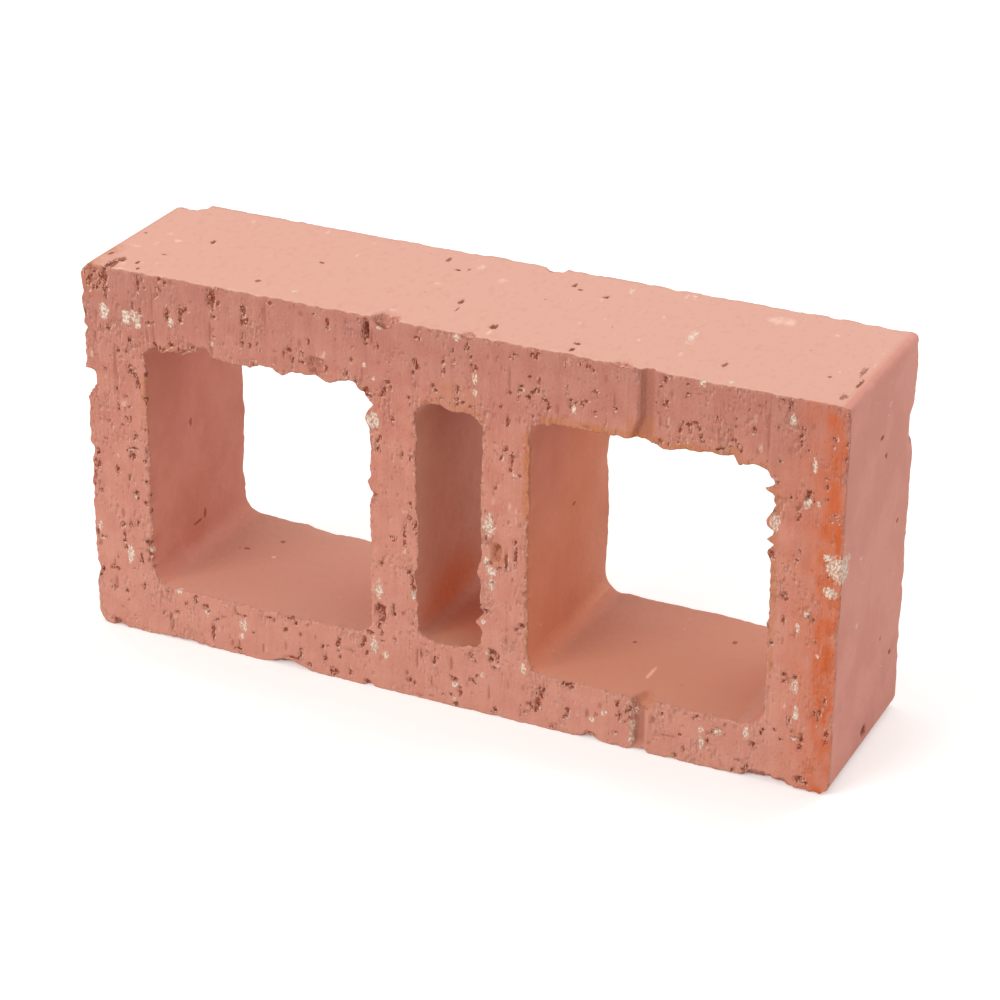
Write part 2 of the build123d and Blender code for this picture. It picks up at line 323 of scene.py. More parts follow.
# Holes that grit left in the front cut face as the wire dragged it down: x, z, width, height, depth.
# Real ones run finer, and those under 1.2 mm are drawn that wide, as the grid carries nothing finer.
torn_holes = [
    (-141.6, 138.4, 2.2, 4.6, 1.2), (-138.8, 136.4, 3.6, 1.6, 1), (-139.8, 142.8, 4.4, 1.5, 0.8),
    (-136.7, 140.6, 1.5, 3.4, 0.8), (-138.6, 139.6, 1.6, 1.4, 0.7), (-134.8, 141, 1.8, 8.5, 1.3),
    (-134.8, 136.4, 2.4, 1.2, 0.9), (-135, 133.4, 1.5, 2.6, 0.9), (-121.3, 140.5, 1.4, 8.5, 0.9),
    (-119.6, 142.4, 1.4, 3, 0.6), (-118.6, 139.6, 1.8, 1.1, 0.8), (-114.8, 136.8, 1.8, 1.3, 0.9),
    (-112.8, 140.2, 1.8, 1.6, 0.9), (-113.4, 138.2, 1.2, 2.4, 0.7), (-110.2, 143.6, 1.3, 3.2, 0.9),
    (-112.6, 144.4, 2.2, 1.1, 0.8), (-109.8, 130.5, 1.9, 6.5, 1.3), (-104.3, 131.6, 2.2, 6.2, 1.3),
    (-102.8, 133.4, 3.4, 1.2, 0.9), (-117, 126.3, 3.2, 1.6, 0.9), (-124.2, 132.4, 1.4, 2, 1),
    (-123.8, 130.6, 1.4, 1.6, 0.9), (-134.2, 121.4, 1.8, 1.8, 0.9), (-125.7, 118, 1.4, 2.4, 0.7),
    (-137, 105, 2.4, 1.2, 1), (-131, 113, 1.5, 2.6, 0.8), (-128, 113.4, 1.6, 2, 0.9),
    (-132.8, 97.6, 1.3, 2.6, 1.1), (-128.8, 95.4, 2, 1.3, 1.2), (-126.6, 108, 3.2, 1.5, 1),
    (-126.2, 105.6, 1.6, 3.4, 1.1), (-123.6, 102.6, 1.6, 5.2, 0.9), (-124.4, 107.2, 1.4, 1.6, 0.8),
    (-119.8, 105.6, 1.7, 3.2, 1.1), (-120.3, 96, 2.6, 1.8, 1.2), (-119.4, 93.6, 1.3, 2, 0.9),
    (-132, 89.6, 1.4, 3.6, 0.7), (-127.4, 91.6, 2.2, 1.3, 0.6), (-128.8, 86, 1.4, 2.6, 0.8),
    (-136.6, 84.4, 1.5, 1.5, 0.9), (-130.7, 83.6, 1.5, 1.3, 0.9), (-120.9, 83.4, 1.8, 1.2, 1),
    (-144.4, 125.5, 1.4, 3, 0.9), (-91.5, 140.5, 3.4, 8, 1.2), (-88.6, 139, 1.6, 2.4, 1),
    (-91, 133.3, 2.6, 1.8, 1.3), (-90.6, 126, 1.4, 1.6, 0.8), (-91, 118.4, 2.8, 2.4, 0.9),
    (-78.4, 137.6, 1.8, 5.2, 1.3), (-79.2, 133.4, 1.8, 3.4, 1.3), (-77.2, 134.6, 1.4, 4, 0.7),
    (-67.8, 143.2, 2.4, 2, 0.9), (-50.5, 142.4, 1.5, 1.3, 0.7), (-45.2, 139.4, 1.4, 6.4, 1),
    (-33, 143, 1.4, 3.6, 0.8), (-30.4, 139.6, 2.6, 7.6, 1.9), (-30.6, 134.4, 2.2, 1.6, 0.8),
    (-26, 134.6, 1.3, 3, 0.6), (-35.5, 132, 1.5, 1.6, 0.6), (-52.8, 131.2, 1.5, 3.6, 1.1),
    (-55.5, 126.6, 1.4, 3.6, 0.6), (-60.8, 126.6, 2.4, 2, 1.3), (-62.8, 125, 1.3, 3, 0.9),
    (-59.2, 123.4, 1.4, 2, 0.8), (-56, 122.9, 2.8, 1.3, 1), (-46.2, 122.6, 1.9, 2.8, 1.5),
    (-79.6, 125.4, 1.7, 2.8, 1), (-79.4, 129, 1.3, 4, 0.6), (-76.4, 125.2, 1.6, 2.2, 0.9),
    (-73.4, 126.6, 1.3, 1.6, 0.7), (-72.8, 124, 1.4, 1.4, 0.8), (-81.6, 125, 1.3, 1.4, 0.7),
    (-75.6, 120, 2.4, 2.2, 0.6), (-36.2, 127.5, 1.3, 2.6, 0.8), (-38.4, 121.6, 2, 3.4, 0.8),
    (-34.6, 119.6, 1.4, 3, 0.8), (-30.5, 117.4, 3.4, 3.4, 1), (-29, 115.4, 1.4, 1.8, 0.8),
    (-22.4, 121.4, 3, 2.6, 1.3), (-23.6, 118.6, 1.7, 4.6, 1.2), (-20.8, 119.8, 1.4, 2.4, 0.8),
    (-24.6, 116.6, 1.4, 2, 0.8), (-20.3, 108.6, 1.3, 2.6, 0.7), (-67.6, 117.6, 2.4, 1.6, 0.6),
    (-26, 98.6, 1.3, 2.6, 0.6), (-26, 95.4, 1.9, 3.4, 0.8), (-25.2, 100.4, 1.4, 1.4, 0.9),
    (-16.8, 95.6, 1.3, 4.6, 0.8), (-13.6, 94.6, 1.5, 2.4, 0.8), (-12.8, 103.6, 2, 1.2, 0.8),
    (-28, 77.4, 2.4, 1.6, 0.9), (-13.8, 77, 1.6, 2.2, 0.6), (-16.2, 64.6, 1.3, 11, 0.8),
    (-14.6, 71.6, 1.8, 2.2, 0.6), (-12.4, 69.4, 1.6, 3.6, 1), (-12.2, 66, 1.3, 1.6, 0.8),
    (-20.4, 62.4, 2.2, 1.3, 0.8), (-20.2, 61.2, 1.2, 2.2, 0.8), (-25.2, 51, 1.3, 2.8, 0.8),
    (-13.8, 50, 1.9, 2.6, 1.1), (-13.2, 46.6, 1.5, 4.2, 0.9), (-12.8, 44, 1.8, 2.4, 0.9),
    (-25.6, 31.8, 4.2, 4.6, 1.5), (-25.2, 28.4, 2.6, 2.8, 1), (-26.4, 25.4, 1.5, 3.6, 0.9),
    (-20.9, 34, 1.5, 4.8, 1.2), (-20.2, 31.4, 1.8, 1.3, 0.9), (-16.6, 33, 1.4, 1.4, 0.9),
    (-13.6, 29.6, 1.6, 1.3, 0.7), (-14.6, 25.8, 1.4, 1.3, 0.6), (-13, 75.4, 1.4, 2, 0.6),
    (23.5, 116, 1.6, 4.4, 0.9), (23, 105.8, 1.7, 2, 1), (21, 102, 1.3, 2, 0.7),
    (25.4, 102.2, 1.4, 5.6, 1.1), (24.8, 98, 1.4, 2.2, 1.1), (28.2, 96.6, 1.4, 1.8, 0.9),
    (26, 95.2, 2.6, 1.3, 0.7), (19, 90.2, 1.5, 1.7, 0.8), (23.3, 62.8, 1.4, 9, 1),
    (26.8, 70.8, 1.4, 1.8, 1.1), (27, 65.6, 1.4, 8, 1), (17.4, 60.6, 2.6, 1.3, 0.9),
    (20.8, 59, 1.4, 2.4, 0.9), (18.2, 53.6, 1.4, 1.6, 0.8), (31, 51.6, 1.4, 1.4, 0.7),
    (31, 58, 1.3, 1.4, 0.7), (29.4, 38.6, 3, 2.4, 1.4), (27.6, 37, 1.8, 1.5, 1.2),
    (28.6, 35.4, 2.6, 1.2, 0.7), (15.4, 41.6, 3, 1.6, 1.3), (14, 43.2, 1.3, 1.8, 0.8),
    (18.4, 25.6, 3.4, 2.8, 1.7), (17.4, 22.4, 2.2, 3.4, 1.5), (20.2, 24, 1.5, 4, 1.2),
    (18.8, 19.6, 2.4, 1.4, 0.8), (-10.6, 140.4, 2.2, 1.8, 0.6), (-11.6, 131.4, 2.4, 2.6, 1.2),
    (-10.6, 129.4, 1.4, 2.8, 0.9), (-12.4, 127, 1.4, 2.4, 0.9), (-0.9, 133.6, 1.6, 2.4, 1),
    (-0.8, 130.4, 1.3, 4, 0.8), (-5, 124, 2.4, 1.3, 0.9), (-4, 122.4, 1.3, 1.8, 0.7),
    (-14.2, 117.6, 2.2, 1.5, 0.7), (-13.4, 115.2, 1.3, 3, 0.6), (3, 138.4, 1.4, 1.6, 0.9),
    (3, 134.4, 1.5, 2.2, 0.6), (2.6, 132.6, 1.3, 1.3, 0.6), (8.4, 140.6, 1.8, 3.4, 0.9),
    (9.4, 137.4, 1.5, 2.8, 0.8), (9.6, 134.2, 1.3, 2, 0.7), (11.4, 133.4, 2.2, 2.4, 1.2),
    (4.2, 124.6, 2.4, 1.9, 1), (4, 122.8, 1.4, 1.4, 0.8), (4.2, 120.4, 2.2, 1.4, 0.8),
    (6.6, 119.6, 2.2, 1.3, 0.9), (4.4, 118.2, 1.5, 1.3, 1), (-1.4, 119.6, 2, 1.3, 0.8),
    (-3, 118.4, 1.3, 1.3, 0.6), (1.4, 118.2, 1.4, 1.3, 0.6), (9.2, 118.4, 1.6, 1.3, 0.6),
    (24.2, 126.8, 1.9, 1.3, 1), (26, 141.6, 2.2, 1.3, 0.8), (24.6, 139.8, 1.3, 2.4, 0.7),
    (28.6, 130, 3, 1.4, 1.2), (28, 128.6, 2.4, 1.4, 1), (27.6, 126, 1.3, 3.6, 0.8),
    (21.2, 121, 1.5, 1.5, 0.6), (32.4, 142.6, 2.2, 1.7, 1), (34.6, 143.2, 1.7, 2, 0.9),
    (33.6, 141.8, 2.6, 1.2, 0.8), (35, 133.6, 1.3, 3, 0.9), (32, 134.2, 2.4, 1.2, 0.7),
    (31.2, 126.6, 2.2, 2.4, 1.2), (32.8, 128.2, 2, 2.4, 1.2), (34.4, 129.8, 2, 2.2, 1.1),
    (37.6, 126.6, 2.2, 1.5, 1.1), (39.2, 124.6, 1.4, 3, 0.7), (32.6, 120, 1.4, 1.4, 0.6),
    (45.6, 122.4, 4, 1.5, 0.6), (45, 133.2, 1.4, 1.4, 0.7), (46.8, 128.6, 2.6, 1.2, 0.9),
    (46.4, 126.8, 1.3, 2.4, 0.8), (49.4, 128.8, 1.3, 1.6, 0.6), (52, 129.4, 2.4, 1.2, 0.9),
    (51, 127.8, 1.3, 3, 0.7), (53.2, 142.4, 2.4, 1.8, 1), (54.8, 141, 1.3, 1.9, 0.8),
    (49.6, 142.8, 1.4, 1.8, 0.6), (44.4, 141.4, 1.4, 2.6, 0.6), (55.6, 125.8, 1.6, 2.6, 0.6),
    (55.4, 133.4, 2, 1.3, 0.6), (63, 128.6, 1.5, 1.8, 0.9), (80.6, 143.8, 2.6, 1.5, 1.2),
    (80.2, 142, 1.9, 1.6, 1), (79, 140, 1.3, 2, 0.6), (81.2, 134.6, 2.8, 1.7, 1.1),
    (80, 133.6, 1.4, 1.4, 0.9), (81.6, 132.6, 1.3, 1.8, 0.7), (76.9, 133.6, 1.5, 1.3, 0.8),
    (79.4, 120.8, 2.8, 1.7, 1), (82.2, 120.6, 1.3, 1.6, 0.6), (87, 128.2, 1.6, 1.8, 1),
    (86.2, 125.6, 1.5, 4, 1), (85.6, 122.4, 1.4, 3.4, 0.7), (88.4, 121.6, 1.4, 2.2, 0.6),
    (89.6, 128.2, 1.6, 1.6, 0.9), (91.4, 129.2, 2.6, 1.4, 1.1), (93, 127.4, 1.5, 2.4, 1.1),
    (93.6, 124.8, 1.5, 2.6, 1.1), (94.4, 122.8, 1.3, 2, 0.8), (90.2, 126, 1.3, 3.4, 0.6),
    (91.2, 122.4, 1.4, 2.6, 0.6), (88.8, 138.8, 1.4, 2.2, 1), (88.2, 137.8, 1.8, 1.2, 0.7),
    (88.4, 143, 1.4, 1.4, 0.8), (99.1, 132, 1.4, 2.6, 0.9), (106, 131, 1.6, 1.4, 1.1),
    (105.6, 133.2, 1.3, 1.2, 0.6), (103.2, 129, 1.3, 1.3, 0.7), (105.2, 125.6, 2.2, 1.4, 0.9),
    (106.6, 124, 1.3, 2.4, 0.8), (104.2, 122.8, 1.6, 1.3, 0.8), (101.4, 121.4, 2.2, 1.3, 1),
    (99.4, 120.6, 1.6, 1.2, 0.7), (107.8, 122.8, 1.3, 1.6, 0.7), (112.2, 131, 1.3, 2.2, 0.9),
    (114.2, 140, 2.2, 1.1, 0.9), (110.6, 137.6, 1.4, 1.2, 0.7), (124.4, 143.2, 1.5, 1.6, 1),
    (124.2, 141.2, 1.3, 2.4, 0.9), (121.4, 144, 1.9, 1.2, 0.7), (128.6, 134.6, 2.6, 1.3, 0.9),
    (130.4, 133.6, 1.4, 1.2, 0.6), (128.3, 131, 1.4, 4.4, 1), (128.6, 128.6, 1.3, 1.6, 0.7),
    (120.3, 133.5, 1.3, 1.5, 0.7), (131.2, 127, 1.6, 1.5, 0.6), (121.6, 121.6, 1.3, 1.4, 0.6),
    (138.3, 118.6, 1.4, 1.6, 0.8), (138.4, 115.4, 1.4, 2.4, 0.9), (138.3, 111, 1.8, 1.3, 1.1),
    (139.8, 132, 1.5, 4, 0.6), (144, 126.4, 1.4, 3, 0.8), (144.2, 132, 1.3, 2, 0.6),
    (132.4, 112.4, 2.4, 2, 1.3), (131.8, 110.6, 1.8, 1.7, 1.2), (134, 110, 1.3, 1.6, 0.8),
    (128.6, 106, 1.9, 1.7, 0.9), (129.4, 103.4, 1.4, 2.8, 0.8), (128.6, 102, 1.3, 1.6, 0.6),
    (126, 109, 1.4, 1.7, 0.8), (121, 113.8, 1.6, 1.2, 0.7), (141.8, 106.2, 2.2, 1.2, 0.7),
    (143.2, 104.4, 1.2, 2.4, 0.6), (140.6, 104.4, 1.3, 2.2, 0.6), (120.6, 88.6, 2.4, 1.5, 0.9),
    (120.4, 86, 2.4, 2.2, 1.1), (121.8, 86.6, 1.4, 2.6, 0.9), (129, 86.8, 1.9, 1.3, 0.9),
    (125.6, 73.8, 1.8, 1.3, 0.9), (124.6, 72.4, 1.3, 2.4, 0.9), (126.4, 72, 1.3, 1.6, 0.7),
    (135.8, 66, 1.6, 2, 1.1), (134.4, 67, 2, 1.3, 0.9), (125.5, 64, 1.4, 3.4, 0.8),
    (136.9, 58, 1.4, 2.6, 0.8), (126.8, 43.4, 1.8, 1.9, 1.2), (126.4, 40.8, 2, 1.4, 0.9),
    (128, 42.4, 1.3, 2.4, 0.8), (130.6, 43.3, 1.6, 1.6, 1.2), (129.4, 26.4, 1.3, 4, 0.6),
    (130.6, 22.6, 1.5, 1.4, 0.6), (138.2, 31, 1.5, 2.2, 1.1), (140.2, 32, 1.3, 2.8, 1),
    (141.6, 37, 1.4, 4, 0.6), (143, 24, 1.6, 3.4, 1.1), (142.6, 21, 1.4, 2.4, 0.8),
    (134.1, 20.6, 1.7, 4.2, 1.3), (133.6, 16.6, 1.5, 3.6, 1.1), (131, 20, 3.4, 1.2, 0.6),
    (124.6, 21.4, 1.8, 1.3, 0.8), (127, 18.2, 1.9, 1.3, 0.7), (119.6, 18.8, 1.4, 2, 0.9),
    (120.2, 20.6, 1.3, 1.3, 0.6), (116.6, 13.6, 1.8, 1.8, 0.9), (117.6, 12.4, 1.3, 1.4, 0.7),
    (118.2, 30.4, 1.9, 1.5, 0.8), (119.8, 29, 1.4, 2, 0.6), (119.6, 27.6, 1.4, 2, 0.6),
    (121.6, 54, 1.9, 1.3, 0.8), (134, 4.2, 3.4, 3, 1.4), (136.4, 3, 1.9, 1.3, 1), (111.6, 6, 2, 1.3, 0.7),
    (113.6, 2.6, 1.9, 1.9, 0.8), (110, 1.6, 1.4, 2.2, 0.8), (88.4, 1.8, 1.8, 1.7, 0.9),
    (91.5, 5, 1.3, 2.6, 0.9), (90, 10.6, 1.8, 1.3, 0.9), (91, 14.4, 1.3, 1.2, 0.6),
    (83.2, 17, 1.3, 2.4, 0.7), (96.2, 19.4, 2.2, 1.6, 0.8), (94.8, 18.4, 1.3, 1.2, 0.6),
    (100.2, 13.6, 1.3, 1.8, 0.8), (100.2, 10.4, 1.3, 2.6, 0.8), (97.6, 21.8, 1.4, 1.2, 0.6),
    (102.2, 17.4, 1.3, 1.3, 0.6), (106.4, 14.6, 1.3, 1.5, 0.7), (102, 14.8, 1.2, 1.5, 0.7),
    (66.6, 16.6, 1.6, 3.4, 0.8), (67.4, 12.4, 2.4, 3.6, 0.9), (70, 14.8, 1.5, 2, 1),
    (71.4, 16.6, 1.5, 2, 1.1), (66, 5.2, 2.4, 1.3, 0.7), (69.4, 10.6, 1.3, 1.6, 0.8),
    (71.2, 12.4, 1.4, 1.5, 1.1), (58.4, 10.6, 1.3, 2, 0.6), (47.8, 20, 3.4, 1.6, 1.4),
    (49, 18.8, 1.9, 1.6, 1.2), (46.4, 20.6, 1.4, 1.3, 0.9), (47.6, 9, 1.5, 3.8, 1.1),
    (47, 7, 1.4, 1.8, 0.9), (46, 6, 1.4, 1.5, 0.6), (56.4, 1.4, 3.4, 1.3, 0.8), (41.6, 1.4, 1.5, 2.2, 0.7),
    (36.8, 13, 2.4, 4.4, 1.3), (36.2, 9.4, 2.4, 3.4, 1.2), (35.4, 7, 1.5, 2.6, 0.9),
    (38.2, 15, 1.3, 3, 0.7), (32.2, 8.2, 2.2, 1.6, 0.9), (33.8, 7.2, 1.3, 1.6, 0.8),
    (31.4, 5, 1.9, 1.3, 0.6), (19.4, 2.6, 1.8, 2.4, 0.9), (18.2, 1.4, 1.4, 1.4, 0.7),
    (10.2, 12.4, 2.2, 1.6, 1), (11.4, 11.4, 1.4, 1.4, 0.8), (12.6, 14.8, 1.4, 1.6, 0.7),
    (10, 21.6, 2.6, 2.2, 0.8), (11.4, 19.8, 1.3, 1.6, 0.6), (3.4, 11.2, 2.8, 1.6, 1.2),
    (2, 12.2, 1.3, 1.3, 0.8), (5.8, 6.2, 1.6, 2.4, 0.9), (5.4, 8.2, 1.3, 1.4, 0.7),
    (2.2, 4.6, 1.4, 1.3, 0.6), (-1, 3.8, 1.6, 1.3, 0.6), (4, 1.6, 2, 2.4, 1), (-3.8, 18, 2, 1.4, 0.9),
    (-4.6, 16.4, 1.4, 1.8, 0.8), (-14.6, 6.6, 2.4, 2.2, 0.8), (-12.4, 5.6, 1.4, 2.2, 0.8),
    (-15.6, 9, 1.4, 2.4, 0.6), (-111, 11.8, 1.8, 1.4, 0.7), (-106.8, 16, 1.5, 3.4, 0.6),
    (-103, 19, 1.8, 2.8, 1), (-102.6, 17.4, 1.3, 1.5, 0.8), (-98.6, 16.6, 2.4, 1.4, 1.3),
    (-97.4, 15, 1.3, 1.4, 0.8), (-95.5, 7.6, 1.4, 8, 1), (-93.6, 12.6, 1.5, 1.3, 0.6),
    (-84.6, 16.6, 2.2, 1.3, 1.1), (-82.4, 16.4, 2.2, 1.3, 1.2), (-85, 2.4, 4, 1.4, 0.7),
    (-78.4, 10.4, 1.5, 1.3, 0.6), (-72, 18.4, 2.6, 1.3, 0.8), (-69.8, 17.6, 1.5, 1.3, 0.6),
    (-65, 15, 1.7, 2.2, 0.9), (-62.6, 20.6, 3.4, 1.8, 0.8), (-60.6, 18.6, 1.8, 1.6, 0.8),
    (-58.8, 14.4, 1.4, 2.2, 1), (-59, 7, 1.4, 6, 0.8), (-56, 18.8, 1.7, 1.3, 1),
    (-49.6, 11.6, 1.4, 1.9, 0.9), (-48.8, 7, 1.6, 3.8, 1), (-47.6, 12.4, 1.7, 1.4, 0.6),
    (-43.4, 14.4, 1.7, 2.8, 1), (-42.6, 9, 1.4, 2.6, 0.7), (-42.8, 16.6, 1.3, 1.4, 0.6),
    (-43.4, 11.4, 1.6, 1.3, 0.6), (-44.8, 2.6, 2.6, 3, 1.1), (-38.6, 4, 1.9, 3, 0.8),
    (-31.4, 1.8, 2.2, 1.7, 0.9), (-55.6, 2.6, 2, 2.4, 0.7), (-62, 3.4, 6, 1.4, 0.6),
    (-33.4, 16.4, 1.6, 2.4, 1.1), (-32.6, 19, 1.4, 2.4, 0.9), (-29.8, 21.8, 2.6, 1.4, 1),
    (-25.6, 22.6, 1.5, 2.4, 0.8), (-25.4, 19.8, 1.3, 1.6, 0.8), (-31.6, 13.4, 1.3, 2, 0.6),
    (-113.6, 9.6, 1.6, 2.6, 0.6), (-26.6, 26.4, 2, 1.6, 0.9), (-127, 72, 2.9, 2.9, 1.8),
    (-126.6, 75.3, 4.2, 1.3, 0.9), (-129.4, 73.6, 1.3, 2, 0.6), (-122, 70.9, 1.5, 1.5, 0.8),
    (-121, 74.6, 1.3, 3.6, 0.8), (-133.8, 65.2, 1.8, 3.6, 1), (-138.5, 77, 1.6, 1.6, 0.8),
    (-125.2, 80.8, 1.5, 1.4, 0.9), (-126, 79.2, 1.6, 1.2, 0.7), (-142.4, 71.2, 1.8, 2.8, 1.3),
    (-142, 65.6, 2.6, 4.2, 0.9), (-143.8, 66, 1.4, 3, 0.7), (-143.8, 61, 1.5, 3.2, 1),
    (-144, 57.6, 1.4, 2, 0.7), (-141.3, 55.4, 1.5, 3, 0.9), (-128.6, 63, 1.5, 2.6, 0.8),
    (-126, 57.4, 2, 1.8, 1.1), (-125.6, 55, 1.4, 1.6, 0.9), (-121, 62.6, 1.6, 1.7, 1),
    (-121.4, 54, 2.2, 2.2, 1), (-119.8, 51.4, 1.3, 2, 0.8), (-120.2, 57.4, 1.3, 2, 0.6),
    (-132.2, 43.6, 1.9, 2.2, 1), (-132, 39.6, 1.4, 4, 0.8), (-132, 36.6, 1.7, 2, 1.1),
    (-132, 33.8, 1.6, 1.4, 1.2), (-129, 44.4, 1.4, 3.6, 0.7), (-126.2, 45, 1.4, 3.4, 0.8),
    (-143.6, 38, 1.3, 2.6, 0.8), (-142.2, 36.2, 4, 1.3, 0.6), (-138.2, 24.4, 1.5, 2.4, 0.8),
    (-136, 24.4, 2.4, 1.3, 0.6), (-137.4, 15.6, 2.4, 2.2, 0.7), (-143, 22.6, 1.4, 2.8, 1.2),
    (-143.6, 20, 1.5, 1.5, 1), (-132.3, 15.7, 1.4, 2.6, 0.9), (-131.9, 12.2, 1.5, 1.4, 0.7),
    (-128.6, 26, 1.5, 1.2, 0.6), (-125.2, 32.8, 1.3, 2, 0.7), (-125, 30.2, 1.5, 3.4, 0.8),
    (-121, 38, 2.4, 2.6, 1.6), (-120.8, 33.2, 2.4, 1.7, 1), (-121.4, 30.8, 1.5, 2.4, 1),
    (-119.2, 31.4, 1.6, 2.2, 0.9), (-120, 28.8, 2.4, 1.5, 0.8), (-122, 34.6, 1.3, 1.6, 0.8),
    (-137, 2.4, 5, 1.9, 0.8), (-116.8, 10, 1.5, 1.7, 0.6), (-114, 10, 1.3, 1.7, 0.8),
    (-113.6, 4.4, 1.4, 3, 0.6), (-115.6, 119.2, 2.6, 1.6, 1.2), (-108.6, 120.8, 3, 1.5, 1.1),
    (-99.8, 120.4, 2.6, 1.5, 1), (-112, 119.4, 4, 1.2, 0.9), (-103.8, 119.8, 4.4, 1.2, 0.8),
    (-124.6, 104.6, 2, 2.4, 0.9), (-122.6, 100.6, 1.5, 2.6, 0.8), (-127.4, 107.4, 1.6, 1.3, 0.8),
    (-12.6, 48.2, 1.6, 3, 0.9), (-140.2, 140.4, 1.6, 2, 0.9), (-137.4, 138.2, 2.4, 1.2, 0.8),
    (-143.6, 141, 1.4, 2, 0.7),
]

